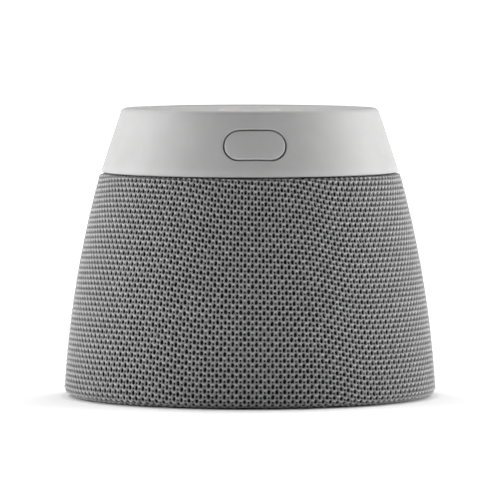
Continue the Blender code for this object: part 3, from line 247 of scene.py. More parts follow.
def make_looks():
    looks = {}

    yarn = Look("fabric", Roughness=0.85, Sheen_Weight=0.45, Sheen_Roughness=0.4)
    yarn.shader.inputs["Specular IOR Level"].default_value = 0.25
    # Painted shade and highlight: the yarn's colour darkens towards grey 0.08 as its height attribute falls
    # from the knots into the holes, so the knots stand out pale.
    height = yarn.node("ShaderNodeAttribute", attribute_name="height").outputs["Fac"]
    crest = yarn.blended(yarn.ranged(yarn.noise(1.6 * MM, 2), 0, 1), (*grey(0.35), 1), (*grey(0.52), 1))
    yarn.feed(yarn.shader.inputs["Base Color"], yarn.blended(height, (*grey(0.08), 1), crest))
    yarn.bump(yarn.noise(0.22 * MM, 3, (1, 1, 0.45)), 0.10 * MM, 0.8)
    yarn.bump(yarn.noise(0.07 * MM, 2), 0.03 * MM, 0.6)
    looks["fabric"] = yarn

    backing = Look("sleeve_backing", Roughness=0.95)
    backing.shader.inputs["Specular IOR Level"].default_value = 0.1
    backing.colour(backing.noise(0.5 * MM), grey(0.010), grey(0.028))
    backing.bump(backing.specks(0.35 * MM), 0.10 * MM, 0.6)
    looks["sleeve_backing"] = backing

    silver = Look("silver_plastic", Roughness=0.55)
    silver.shader.inputs["Specular IOR Level"].default_value = 0.28
    silver.colour(silver.noise(9 * MM, 2), (0.365, 0.365, 0.363), (0.390, 0.390, 0.389))
    silver.roughen(silver.noise(1.2 * MM, 3), 0.50, 0.58)
    silver.bump(silver.noise(0.12 * MM, 2), 0.004 * MM, 0.35)
    looks["silver_plastic"] = silver

    rubbery = Look("grey_plastic", Roughness=0.55)
    rubbery.colour(rubbery.noise(5 * MM), grey(0.36), grey(0.40))
    rubbery.roughen(rubbery.noise(0.8 * MM), 0.48, 0.6)
    rubbery.bump(rubbery.specks(0.16 * MM), 0.012 * MM, 0.4)
    looks["grey_plastic"] = rubbery

    black = Look("black_plastic", Roughness=0.5)
    black.colour(black.noise(4 * MM), grey(0.016), grey(0.026))
    black.roughen(black.noise(1.5 * MM), 0.42, 0.6)
    black.bump(black.specks(0.25 * MM), 0.02 * MM, 0.5)
    looks["black_plastic"] = black

    guide = Look("light_guide", Roughness=0.45, Subsurface_Weight=0.3, Subsurface_Scale=0.002)
    guide.colour(guide.noise(3 * MM), grey(0.46), grey(0.52))
    guide.roughen(guide.noise(0.6 * MM), 0.42, 0.52)
    looks["light_guide"] = guide

    rubber = Look("rubber", Roughness=0.7)
    rubber.colour(rubber.noise(6 * MM), grey(0.022), grey(0.036))
    rubber.roughen(rubber.noise(1.0 * MM), 0.62, 0.8)
    rubber.bump(rubber.noise(0.3 * MM, 3), 0.02 * MM, 0.6)
    looks["rubber"] = rubber

    steel = Look("steel", Roughness=0.35, Metallic=1.0)
    steel.colour(steel.noise(3 * MM), grey(0.50), grey(0.58))
    steel.roughen(steel.noise(0.5 * MM, 3, (1, 1, 6)), 0.25, 0.45)
    steel.bump(steel.noise(0.2 * MM, 2, (1, 1, 5)), 0.005 * MM, 0.5)
    looks["steel"] = steel

    tin = Look("tin_plate", Roughness=0.4, Metallic=1.0)
    tin.colour(tin.noise(2 * MM), grey(0.60), grey(0.68))
    tin.roughen(tin.noise(1.0 * MM), 0.32, 0.5)
    looks["tin_plate"] = tin

    ferrite = Look("ferrite", Roughness=0.6)
    ferrite.colour(ferrite.noise(1.5 * MM), grey(0.05), grey(0.08))
    ferrite.bump(ferrite.noise(0.5 * MM, 4), 0.03 * MM, 0.7)
    looks["ferrite"] = ferrite

    copper = Look("copper", Roughness=0.3, Metallic=1.0)
    copper.colour(copper.noise(0.4 * MM, 1, (0.2, 0.2, 1)), (0.70, 0.30, 0.16), (0.86, 0.42, 0.25))
    copper.bump(copper.noise(0.25 * MM, 1, (0.05, 0.05, 1)), 0.04 * MM, 0.8)
    looks["copper"] = copper

    paper = Look("paper", Roughness=0.8)
    paper.colour(paper.noise(1.2 * MM, 4), grey(0.020), grey(0.038))
    paper.bump(paper.noise(0.5 * MM, 4), 0.05 * MM, 0.7)
    looks["paper"] = paper

    spider = Look("spider_cloth", Roughness=0.85)
    spider.colour(spider.noise(0.8 * MM, 3), (0.42, 0.26, 0.09), (0.55, 0.36, 0.15))
    spider.bump(spider.specks(0.5 * MM), 0.06 * MM, 0.8)
    looks["spider_cloth"] = spider

    board = Look("circuit_board", Roughness=0.4)
    board.colour(board.specks(2.4 * MM), (0.012, 0.075, 0.030), (0.022, 0.115, 0.045), 0.2, 0.35)
    board.roughen(board.noise(0.8 * MM), 0.32, 0.5)
    board.bump(board.specks(2.4 * MM), 0.03 * MM, 0.5)
    looks["circuit_board"] = board

    switch = Look("switch_housing", Roughness=0.45)
    switch.colour(switch.noise(1.5 * MM), grey(0.03), grey(0.05))
    switch.roughen(switch.noise(0.5 * MM), 0.38, 0.55)
    looks["switch_housing"] = switch

    return {name: made.material for name, made in looks.items()}


looks = make_looks()


# ---------------------------------------------------------------- mesh tools

def add_piece(name, points, faces, slot, body="housing", stands_for=(), sharp=35.0, look=None):
    """New piece that rides on a body, with smooth faces and sharp edges beyond an angle in degrees."""
    mesh = bpy.data.meshes.new(name)
    corners = [tuple(map(float, point)) for point in points]
    mesh.from_pydata(corners, [], [tuple(map(int, face)) for face in faces])
    work = bmesh.new()
    work.from_mesh(mesh)
    bmesh.ops.remove_doubles(work, verts=work.verts, dist=WELD_DISTANCE)
    bmesh.ops.recalc_face_normals(work, faces=work.faces)
    work.to_mesh(mesh)
    work.free()
    mesh.polygons.foreach_set("use_smooth", np.ones(len(mesh.polygons), bool))
    mesh.set_sharp_from_angle(angle=math.radians(sharp))
    mesh.materials.append(looks[look or slot])
    made = bpy.data.objects.new(name, mesh)
    bpy.context.scene.collection.objects.link(made)
    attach(made, body)
    if stands_for:
        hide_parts(*stands_for)
    return made


def filleted(corners, steps=4):
    """Outline through corners (x, y, radius), each rounded to its radius."""
    outline = []
    for index, (x, y, radius) in enumerate(corners):
        here = np.array((x, y))
        if radius == 0:
            outline.append(here)
            continue
        before = np.array(corners[index - 1][:2]) - here
        after = np.array(corners[(index + 1) % len(corners)][:2]) - here
        before /= np.linalg.norm(before)
        after /= np.linalg.norm(after)
        half = math.acos(float(np.clip(before @ after, -1, 1))) / 2
        cut = radius / math.tan(half)
        bisector = (before + after) / np.linalg.norm(before + after)
        centre = here + bisector * radius / math.sin(half)
        first = here + before * cut - centre
        last = here + after * cut - centre
        turn = math.pi - 2 * half
        for step in range(steps + 1):
            share = step / steps
            mixed = math.sin((1 - share) * turn) * first + math.sin(share * turn) * last
            outline.append(centre + mixed / math.sin(turn))
    return outline


def bands(rows, count, closed=False):
    """Faces between rows of points, where each row goes once round."""
    faces = []
    for row in range(rows if closed else rows - 1):
        low = row * count
        high = (row + 1) % rows * count
        for index in range(count):
            after = (index + 1) % count
            faces.append((low + index, low + after, high + after, high + index))
    return faces


def turned(profile, sides, closed=True):
    """Points and faces of a profile of (radius, height) turned about Z."""
    angles = np.arange(sides) * 2 * math.pi / sides
    points = []
    for radius, height in profile:
        points += [(radius * math.sin(a), -radius * math.cos(a), height) for a in angles]
    return points, bands(len(profile), sides, closed)


def merged(*parts):
    """One list of points and faces out of several."""
    points = []
    faces = []
    for part_points, part_faces in parts:
        start = len(points)
        points.extend(part_points)
        faces.extend(tuple(start + index for index in face) for face in part_faces)
    return points, faces


def stadium(width, tall, count=64):
    """Outline of a pill shape about the origin."""
    radius = tall / 2
    reach = width / 2 - radius
    angles = (np.arange(count) + 0.5) * 2 * math.pi / count
    points = []
    for a in angles:
        side = reach if math.cos(a) > 0 else -reach
        points.append((side + radius * math.cos(a), radius * math.sin(a)))
    return np.array(points)


def filled_stadium(width, tall):
    """Pill outline with points along its straight sides too."""
    ends = stadium(width, tall)
    radius = tall / 2
    reach = width / 2 - radius
    top = [(x, radius) for x in np.linspace(reach, -reach, 11)]
    bottom = [(x, -radius) for x in np.linspace(-reach, reach, 11)]
    quarter = len(ends) // 4
    outline = [*ends[:quarter], *top, *ends[quarter:3 * quarter], *bottom, *ends[3 * quarter:]]
    return np.array(outline)


def circle(radius, count, centre=(0, 0)):
    angles = np.arange(count) * 2 * math.pi / count
    return np.stack((centre[0] + radius * np.cos(angles), centre[1] + radius * np.sin(angles)), 1)


def inside(points, loop):
    """Which points lie in a closed outline."""
    x, y = points[:, :1], points[:, 1:]
    x0, y0 = loop[:, 0], loop[:, 1]
    x1, y1 = np.roll(x0, -1), np.roll(y0, -1)
    spans = (y0 > y) != (y1 > y)
    rise = np.where(y1 == y0, 1, y1 - y0)
    crossing = x0 + (y - y0) * (x1 - x0) / rise
    return (np.sum(spans & (x < crossing), 1) % 2).astype(bool)


def triangulated(loops, loose, holes):
    """Triangles over loops of fixed edges and loose points, with the areas inside holes left out."""
    points = np.concatenate([*loops, loose])
    edges = []
    start = 0
    for loop in loops:
        count = len(loop)
        edges += [(start + index, start + (index + 1) % count) for index in range(count)]
        start += count
    result = delaunay_2d_cdt([Vector(point) for point in points], edges, [], 0, 1e-9)
    places = np.array([tuple(point) for point in result[0]])
    triangles = np.array([tuple(face) for face in result[2]])
    middles = places[triangles].mean(1)
    kept = np.ones(len(triangles), bool)
    for hole in holes:
        kept &= ~inside(middles, hole)
    back = np.array([source[0] for source in result[3]])
    return back[triangles[kept]], points


def plate(outline, holes, loose, place, thickness, edge, rim=True):
    """Plate with rounded edges.

    Outline and holes give a loop for an offset, and place puts flat points at a depth.
    """
    border = outline(-edge) if rim else outline(0)
    openings = [hole(edge) for hole in holes]
    guards = [hole(3 * edge) for hole in holes]
    loose = loose[inside(loose, outline(-2.5 * edge) if rim else border)]
    for guard in guards:
        loose = loose[~inside(loose, guard)]
    loops = [border, *openings, *guards]
    triangles, flat = triangulated(loops, loose, openings)
    centre = flat[triangles].mean(1)
    triangles = triangles[inside(centre, border)]
    parts = [
        (list(place(flat, 0)), [tuple(face) for face in triangles]),
        (list(place(flat, thickness)), [tuple(face[::-1]) for face in triangles]),
    ]
    turns = [math.radians(angle) for angle in (0, 22.5, 45, 67.5, 90)]
    walled = [(hole, 1) for hole in holes] + ([(outline, -1)] if rim else [])
    for loop, sign in walled:
        rings = [place(loop(sign * edge * (1 - math.sin(a))), edge * (1 - math.cos(a))) for a in turns]
        rings.append(place(loop(0), thickness))
        rings.append(place(loop(sign * edge), thickness))
        points = [point for ring in rings for point in ring]
        parts.append((points, bands(len(rings), len(rings[0]))))
    return merged(*parts)


# ---------------------------------------------------------------- top ring and front button

ring_low, ring_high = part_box("top_ring")
RING_UNDERSIDE = ring_low.z
RING_FOOT = RING_UNDERSIDE + SEAM
WALL_LOW = RING_FOOT + RING_CHAMFER
WALL_HIGH = ring_high.z - RIM_ROUND * (1 - math.sin(RING_LEAN))
cover_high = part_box("top_cover")[1]
COVER_RADIUS = cover_high.x
COVER_HOLE = COVER_RADIUS + GAP
SEAT = cover_high.z - COVER_THICKNESS - GAP


def ring_radius(height):
    return ring_high.x - (height - WALL_LOW) * RING_SLOPE


RING_MEAN = ring_radius((WALL_LOW + WALL_HIGH) / 2)
FLANGE_TOP = RING_UNDERSIDE + FLANGE_THICKNESS


def unrolled(angle, height):
    return np.stack((angle * RING_MEAN, height / math.cos(RING_LEAN)), 1)


def on_wall(flat, depth):
    """Points of the unrolled wall, at a depth below its outer surface."""
    angle = flat[:, 0] / RING_MEAN
    height = np.maximum(flat[:, 1] * math.cos(RING_LEAN) - depth * math.sin(RING_LEAN), WALL_LOW)
    if depth > RING_WALL / 2:
        height = np.maximum(height, FLANGE_TOP)
    radius = ring_radius(height) - depth / math.cos(RING_LEAN)
    return np.stack((radius * np.sin(angle), -radius * np.cos(angle), height), 1)


def pill_on_wall(width, tall):
    """Pill outline laid on the wall at the front button's place."""
    middle = RING_UNDERSIDE + BUTTON_RISE
    local = filled_stadium(width, tall)
    up = np.array((0, math.sin(RING_LEAN), math.cos(RING_LEAN)))
    out = np.array((0, -math.cos(RING_LEAN), math.sin(RING_LEAN)))
    start = np.array((0, -ring_radius(middle), middle))
    points = start + local[:, :1] * np.array((1, 0, 0)) + local[:, 1:] * up
    for _ in range(12):
        gap = np.hypot(points[:, 0], points[:, 1]) - ring_radius(points[:, 2])
        points = points - gap[:, None] * math.cos(RING_LEAN) * out
    return unrolled(np.arctan2(points[:, 0], -points[:, 1]), points[:, 2])


def round_on_wall(x, height, radius, count=40):
    """Round hole bored along Y through the back of the wall."""
    loop = circle(radius, count, (x, height))
    angle = np.arcsin(loop[:, 0] / ring_radius(loop[:, 1]))
    return unrolled(math.copysign(math.pi, x) - angle, loop[:, 1])


def make_ring():
    """Conical ring with the button's slot, the two socket holes, a rounded rim and the cover's ledge."""
    angles = np.linspace(-math.pi, math.pi, RING_SIDES + 1)
    heights = np.linspace(WALL_LOW, WALL_HIGH, 8)
    grid_a, grid_z = np.meshgrid(angles, heights)
    grid = unrolled(grid_a.ravel(), grid_z.ravel()).reshape(len(heights), len(angles), 2)
    border = np.concatenate((grid[0], grid[1:, -1], grid[-1, -2::-1], grid[-2:0:-1, 0]))
    loose = grid[1:-1, 1:-1].reshape(-1, 2)

    def slot(offset):
        grow = 2 * (BUTTON_SLIT + offset)
        return pill_on_wall(BUTTON_WIDTH + grow, BUTTON_TALL + grow)

    def socket_hole(node, nose):
        low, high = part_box(node)
        across = (low.x + high.x) / 2
        height = (low.z + high.z) / 2
        return lambda offset: round_on_wall(across, height, nose + GAP + offset)

    holes = [slot, *(socket_hole(node, nose) for node, nose in SOCKET_NOSES.items())]
    wall = plate(lambda offset: border, holes, loose, on_wall, RING_WALL, WALL_HOLE_EDGE, rim=False)

    top = on_wall(grid[-1, :1], 0)[0]
    top_in = on_wall(grid[-1, :1], RING_WALL)[0]
    rim_across = ring_radius(WALL_HIGH) - RIM_ROUND * math.cos(RING_LEAN)
    rim_height = WALL_HIGH - RIM_ROUND * math.sin(RING_LEAN)
    upper = [(math.hypot(top[0], top[1]), top[2])]
    for angle in np.linspace(math.degrees(RING_LEAN), 90, 9)[1:]:
        turn = math.radians(angle)
        upper.append((rim_across + RIM_ROUND * math.cos(turn), rim_height + RIM_ROUND * math.sin(turn)))
    crest = upper[-1][1]
    inner_top = math.hypot(top_in[0], top_in[1])
    ledge = COVER_HOLE - COVER_LEDGE
    under = SEAT - COVER_LEDGE
    lip = filleted([(rim_across, crest, 0), (COVER_HOLE, crest, 0.5 * MM), (COVER_HOLE, SEAT, 0)])
    upper += [tuple(point) for point in lip[1:]]
    upper += [(ledge, SEAT), (ledge, under), (inner_top, under), (inner_top, top_in[2])]

    bottom_in = on_wall(grid[0, :1], RING_WALL)[0]
    foot = ring_high.x - RING_CHAMFER
    lower = [(math.hypot(bottom_in[0], bottom_in[1]), bottom_in[2])]
    lower += [(FLANGE_RADIUS, FLANGE_TOP), (FLANGE_RADIUS, RING_UNDERSIDE)]
    lower += [(STEP_RADIUS, RING_UNDERSIDE), (STEP_RADIUS, RING_FOOT)]
    for angle in (-90, -60, -30, 0):
        turn = math.radians(angle)
        lower.append((foot + RING_CHAMFER * math.cos(turn), WALL_LOW + RING_CHAMFER * math.sin(turn)))
    points, faces = merged(wall, turned(upper, RING_SIDES, False), turned(lower, RING_SIDES, False))
    add_piece("ring_shell", points, faces, "silver_plastic", stands_for=("top_ring",), sharp=40)


def make_front_cap():
    """Pill button flush with the wall: rounded edge, and the lip that holds it behind the wall."""
    def outline(offset):
        return pill_on_wall(BUTTON_WIDTH + 2 * offset, BUTTON_TALL + 2 * offset)

    middle = RING_UNDERSIDE + BUTTON_RISE
    reach = BUTTON_WIDTH / 2
    span = np.arange(-reach, reach, 0.9 * MM)
    grid_x, grid_y = np.meshgrid(span / RING_MEAN, np.arange(-5, 5.1, 1.25) * MM)
    loose = unrolled(grid_x.ravel(), middle + grid_y.ravel())
    cap = plate(outline, [], loose, on_wall, BUTTON_LIP_DEPTH, BUTTON_EDGE)
    wide = BUTTON_SLIT + BUTTON_LIP

    def lip_place(flat, depth):
        return on_wall(flat, BUTTON_LIP_DEPTH + depth)

    def lip_outline(offset):
        return outline(wide + offset)

    lip = plate(lip_outline, [], loose, lip_place, BUTTON_DEPTH - BUTTON_LIP_DEPTH, BUTTON_LIP_EDGE)
    points, faces = merged(cap, lip)
    add_piece("front_cap", points, faces, "silver_plastic", "front_button", ("front_button",), 45)


# ---------------------------------------------------------------- top cover and its buttons

LIGHT_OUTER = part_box("light_ring")[1].x - LIGHT_LIP
ACTION_RADIUS = LIGHT_OUTER - LIGHT_WIDTH - GAP


def cover_height(radius):
    return cover_high.z - COVER_DISH * (1 - (radius / COVER_RADIUS) ** 2)


def on_cover(flat, depth):
    radius = np.hypot(flat[:, 0], flat[:, 1])
    return np.stack((flat[:, 0], flat[:, 1], cover_height(radius) - depth), 1)


def middle_of(node):
    low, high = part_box(node)
    return (low + high) / 2


def make_cover():
    def hole(centre, radius, count):
        return lambda offset: circle(radius + offset, count, centre)

    buttons = [middle_of(f"{name}_button") for name in ("volume_up", "volume_down", "microphone_mute")]
    ports = [middle_of(f"microphone_boot_{side}") for side in ("left", "right")]
    holes = [hole((place.x, place.y), TOP_BUTTON_HOLE, 64) for place in buttons]
    holes += [hole((place.x, place.y), MICROPHONE_HOLE, 20) for place in ports]
    holes.append(hole((0, 0), LIGHT_OUTER + GAP, 96))
    loose = np.concatenate([circle(radius, 96) for radius in np.linspace(*COVER_RINGS, 14) * MM])

    def outline(offset):
        return circle(COVER_RADIUS + offset, RING_SIDES)

    points, faces = plate(outline, holes, loose, on_cover, COVER_THICKNESS, COVER_EDGE)
    add_piece("cover_plate", points, faces, "silver_plastic", stands_for=("top_cover",), sharp=40)


def make_top_button(node, radius, dish):
    """Turned push button with a softly rounded edge and a shallow dish."""
    low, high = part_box(node)
    centre = (low + high) / 2
    lip = high.x - centre.x
    lip_low = high.z - TOP_BUTTON_DEPTH
    lip_high = lip_low + TOP_BUTTON_LIP
    crown = [(radius * share, high.z - dish * (1 - share ** 2)) for share in np.linspace(0, 0.9, 7)]
    corners = [(radius * 0.9, crown[-1][1], 0), (radius, high.z, TOP_BUTTON_ROUND), (radius, lip_high, 0)]
    edge = filleted(corners)
    foot = low.z + GAP
    profile = [(0.0, foot), (STEM_RADIUS, foot), (STEM_RADIUS, lip_low), (lip, lip_low), (lip, lip_high)]
    profile += [tuple(point) for point in edge[::-1]] + crown[::-1][1:]
    points, faces = turned(profile, 72, False)
    shifted = [(x + centre.x, y + centre.y, z) for x, y, z in points]
    add_piece(f"{node}_cap", shifted, faces, "grey_plastic", node, (node,), 40)
    return centre, high.z - dish


def bar(length, width, rise, turn=0.0):
    """Low raised bar with rounded ends and a softened top."""
    rings = []
    cos, sin = math.cos(turn), math.sin(turn)
    for shrink, height in ((0, -MARK_ROOT), (0, rise * 0.5), (0.12 * width, rise * 0.9), (0.3 * width, rise)):
        loop = stadium(length - 2 * shrink, width - 2 * shrink, 24)
        rings.append([(x * cos - y * sin, x * sin + y * cos, height) for x, y in loop])
    count = len(rings[0])
    points = [point for ring in rings for point in ring]
    caps = [tuple(range(count))[::-1], tuple(range(3 * count, 4 * count))]
    return points, caps + bands(len(rings), count)


def hoop(radius, width, rise):
    """Low raised ring."""
    inner = radius - width / 2
    outer = radius + width / 2
    soft = width * 0.3
    profile = filleted([
        (outer, -MARK_ROOT, 0), (outer, rise, soft), (inner, rise, soft), (inner, -MARK_ROOT, 0),
    ])
    return turned([tuple(point) for point in profile], 48)


def make_buttons():
    """Four top buttons, each with a plain raised mark."""
    sign = bar(3.6 * MM, 0.7 * MM, MARK_RISE)
    marks = {
        "volume_up_button": [sign, bar(3.6 * MM, 0.7 * MM, MARK_RISE, math.pi / 2)],
        "volume_down_button": [sign],
        "microphone_mute_button": [
            hoop(1.5 * MM, 0.6 * MM, MARK_RISE), bar(5.0 * MM, 0.6 * MM, MARK_RISE, 0.8),
        ],
        "action_button": [hoop(2.0 * MM, 0.7 * MM, MARK_RISE)],
    }
    for node, shapes in marks.items():
        action = node == "action_button"
        radius = ACTION_RADIUS if action else TOP_BUTTON_RADIUS
        dish = ACTION_BUTTON_DISH if action else TOP_BUTTON_DISH
        centre, height = make_top_button(node, radius, dish)
        points, faces = merged(*shapes)
        shifted = [(x + centre.x, y + centre.y, z + height + MARK_LIFT) for x, y, z in points]
        add_piece(f"{node}_mark", shifted, faces, "silver_plastic", node, sharp=50)


def make_light():
    low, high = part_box("light_ring")
    inner = ACTION_RADIUS + GAP
    outer = LIGHT_OUTER
    wide = high.x
    lip = high.z - LIGHT_LIP_DEPTH
    corners = [
        (inner, low.z, 0), (wide, low.z, 0), (wide, lip, 0), (outer, lip, 0),
        (outer, high.z, LIGHT_ROUND), (inner, high.z, LIGHT_ROUND),
    ]
    points, faces = turned([tuple(point) for point in filleted(corners)], 96)
    add_piece("light_band", points, faces, "light_guide", stands_for=("light_ring",), sharp=40)


def make_feet():
    low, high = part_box("foot_ring")
    wide = high.x
    inner = wide - FOOT_WIDTH
    first = wide - GROOVE_INNER
    last = wide - GROOVE_OUTER
    groove = low.z + GROOVE_DEPTH
    corners = [
        (inner, high.z, 0), (inner, low.z, FOOT_ROUND), (first, low.z, 0.2 * MM), (first, groove, 0.15 * MM),
        (last, groove, 0.15 * MM), (last, low.z, 0.2 * MM), (wide, low.z, FOOT_ROUND), (wide, high.z, 0),
    ]
    points, faces = turned([tuple(point) for point in filleted(corners)], RING_SIDES)
    add_piece("foot_pad", points, faces, "rubber", stands_for=("foot_ring",), sharp=40)


# ---------------------------------------------------------------- knitted sleeve

sleeve_low, sleeve_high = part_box("fabric_sleeve")


def sleeve_path():
    """Outer surface from the hem's inner edge to the tuck: length, radius, height and outward normal."""
    hem = np.array((sleeve_high.x - HEM_ROLL, sleeve_low.z + HEM_ROLL))
    first = np.array((sleeve_high.x, hem[1]))
    last = np.array((SHOULDER_RADIUS, sleeve_high.z - SHOULDER_ROLL))
    chord = last - first
    reach = math.sqrt(SIDE_ARC_RADIUS ** 2 - chord @ chord / 4)
    centre = (first + last) / 2 - reach * np.array((chord[1], -chord[0])) / np.linalg.norm(chord)
    start = math.atan2(first[1] - centre[1], first[0] - centre[0])
    end = math.atan2(last[1] - centre[1], last[0] - centre[0])
    points = []
    for share in np.linspace(0, 1, 12)[:-1]:
        points.append((hem[0] - HEM_WIDTH * (1 - share), sleeve_low.z))
    for angle in np.linspace(-math.pi / 2, start, 24)[:-1]:
        points.append(hem + HEM_ROLL * np.array((math.cos(angle), math.sin(angle))))
    for angle in np.linspace(start, end, 120)[:-1]:
        points.append(centre + SIDE_ARC_RADIUS * np.array((math.cos(angle), math.sin(angle))))
    shoulder = last - SHOULDER_ROLL * np.array((math.cos(end), math.sin(end)))
    for angle in np.linspace(end, math.pi / 2, 16)[:-1]:
        points.append(shoulder + SHOULDER_ROLL * np.array((math.cos(angle), math.sin(angle))))
    for share in np.linspace(0, 1, 12):
        points.append((shoulder[0] - TUCK_WIDTH * share, shoulder[1] + SHOULDER_ROLL))
    points = np.array(points)
    along = np.gradient(points, axis=0)
    along /= np.linalg.norm(along, axis=1)[:, None]
    normals = np.stack((along[:, 1], -along[:, 0]), 1)
    steps = np.linalg.norm(np.diff(points, axis=0), axis=1)
    length = np.concatenate(((0,), np.cumsum(steps)))
    return length, points[:, 0], points[:, 1], normals[:, 0], normals[:, 1]


path_s, path_r, path_z, path_nr, path_nz = sleeve_path()
PATH_LENGTH = float(path_s[-1])


def on_sleeve(angle, length, rise):
    """Points at an angle round from the front, a length along the path and a rise above the surface."""
    length = np.clip(length, 0, PATH_LENGTH)
    out = np.interp(length, path_s, path_nr)
    up = np.interp(length, path_s, path_nz)
    radius = np.interp(length, path_s, path_r) + rise * out
    height = np.interp(length, path_s, path_z) + rise * up
    return np.stack((radius * np.sin(angle), -radius * np.cos(angle), height), 1)


def row_drift():
    """How far the knit's rows climb or sink round the sleeve, on a grid of angle and path share."""
    angles = np.linspace(-math.pi, math.pi, 721)
    shares = np.linspace(0, 1, 41)
    theta, share = np.meshgrid(np.degrees(angles), shares, indexing="ij")
    falling = 1 - share

    def ridge(middle, width):
        return np.exp(-((theta - middle) / width) ** 2)

    tilt = 0.075 * share * ridge(0, 40)
    tilt += 0.21 * ridge(22 + 9 * falling, 8)
    tilt += 0.12 * ridge(-18 - 12 * falling, 9)
    tilt -= 0.10 * ridge(-72, 16) * share
    turned_away = np.clip((np.abs(theta) - 95) / 35, 0, 1)
    back = turned_away ** 2 * (3 - 2 * turned_away)
    radius = np.interp(share * PATH_LENGTH, path_s, path_r)
    step = angles[1] - angles[0]
    total = (tilt * radius).sum(0) * step
    tilt -= back * total / ((back * radius).sum(0) * step)
    drift = -np.cumsum(tilt * radius, 0) * step
    drift -= drift[len(angles) // 2]
    return drift


DRIFT = row_drift()


def drift_at(angle, share):
    """Bilinear reading of the drift."""
    turns = (angle / (2 * math.pi) + 0.5) % 1.0 * (DRIFT.shape[0] - 1)
    levels = np.clip(share, 0, 1) * (DRIFT.shape[1] - 1)
    i = np.minimum(turns.astype(int), DRIFT.shape[0] - 2)
    j = np.minimum(levels.astype(int), DRIFT.shape[1] - 2)
    a = turns - i
    b = levels - j
    low = DRIFT[i, j] * (1 - a) + DRIFT[i + 1, j] * a
    high = DRIFT[i, j + 1] * (1 - a) + DRIFT[i + 1, j + 1] * a
    return low * (1 - b) + high * b


PAINTED_SHADE_RISES = (-0.45 * MM, 0.25 * MM)   # rises over which painted shade fades from darkest in the holes to none on the knots
BIG_HOLE = np.array((0.205, 0.455))
SMALL_HOLE = np.array((0.15, 0.24))
SMALL_PLACE = np.array((0.5, -0.12))
KNOT_PLACE = np.array((0.5, 0.33))
CELL_SHAPE = np.array((2.5, 1.79))      # width and height of a cell, for the shape of its triangles

# Numbers of the loops in a cell, in the order in which knit_cell lists them.
BORDER = 0
BIG_FLOOR = 1
BIG_EDGE = 2
SMALL_FLOOR = 4
SMALL_EDGE = 5
LOOSE_KEYS = 10_000_000                 # first key of the points that no two cells share


def knit_rise(u, v):
    """Height of the yarn's surface in the knit's own coordinates; it repeats from cell to cell."""
    rise = np.zeros_like(u)
    for row in (-1, 0, 1):
        for column in (-1, 0, 1):
            x = u - column - 0.5 * (row % 2)
            y = v - row
            big = np.hypot(x / BIG_HOLE[0], y / BIG_HOLE[1])
            rise -= 0.32 * np.exp(-((big - 0.85) / 0.42) ** 2)
            small = np.hypot((x - SMALL_PLACE[0]) / SMALL_HOLE[0], (y - SMALL_PLACE[1]) / SMALL_HOLE[1])
            rise -= 0.30 * np.exp(-((small - 0.5) / 0.8) ** 2)
            rise += 0.30 * np.exp(-((x - KNOT_PLACE[0]) / 0.17) ** 2 - ((y - KNOT_PLACE[1]) / 0.17) ** 2)
    return rise * MM


def knit_cell():
    """One cell of the knit: flat points, the number of the loop each belongs to, and triangles."""
    def ring(centre, size, count, turn=0.0):
        angles = (np.arange(count) + turn) * 2 * math.pi / count
        return np.stack((centre[0] + size[0] * np.cos(angles), centre[1] + size[1] * np.sin(angles)), 1)

    quarter = np.arange(4) * 0.25
    border = np.concatenate((
        np.stack((quarter - 0.25, np.full(4, -0.5)), 1),
        np.stack((np.full(4, 0.75), quarter - 0.5), 1),
        np.stack((0.75 - quarter, np.full(4, 0.5)), 1),
        np.stack((np.full(4, -0.25), 0.5 - quarter), 1),
    ))
    deep = ring((0, 0), BIG_HOLE * 0.92, 10, 0.5)
    wall = ring((0, 0), BIG_HOLE, 10, 0.5)
    crest = ring((0, 0), BIG_HOLE * np.array((1.23, 1.07)), 10, 0.5)
    small_deep = ring(SMALL_PLACE, SMALL_HOLE * 0.7, 6)
    small_wall = ring(SMALL_PLACE, SMALL_HOLE * 1.15, 6)
    loose = np.array([
        KNOT_PLACE, KNOT_PLACE + (-0.12, 0), KNOT_PLACE + (0.12, 0), KNOT_PLACE + (0, -0.13),
        (0.27, -0.25), (0.27, 0), (0.27, 0.25), (0.42, -0.44), (0.58, -0.44),
    ])
    loops = [border, deep, wall, crest, small_deep, small_wall]
    holes = [deep * CELL_SHAPE, small_deep * CELL_SHAPE]
    triangles, flat = triangulated([loop * CELL_SHAPE for loop in loops], loose * CELL_SHAPE, holes)
    counts = [len(loop) for loop in loops] + [len(loose)]
    kinds = np.repeat(np.arange(len(counts)), counts)
    return flat / CELL_SHAPE, kinds, triangles


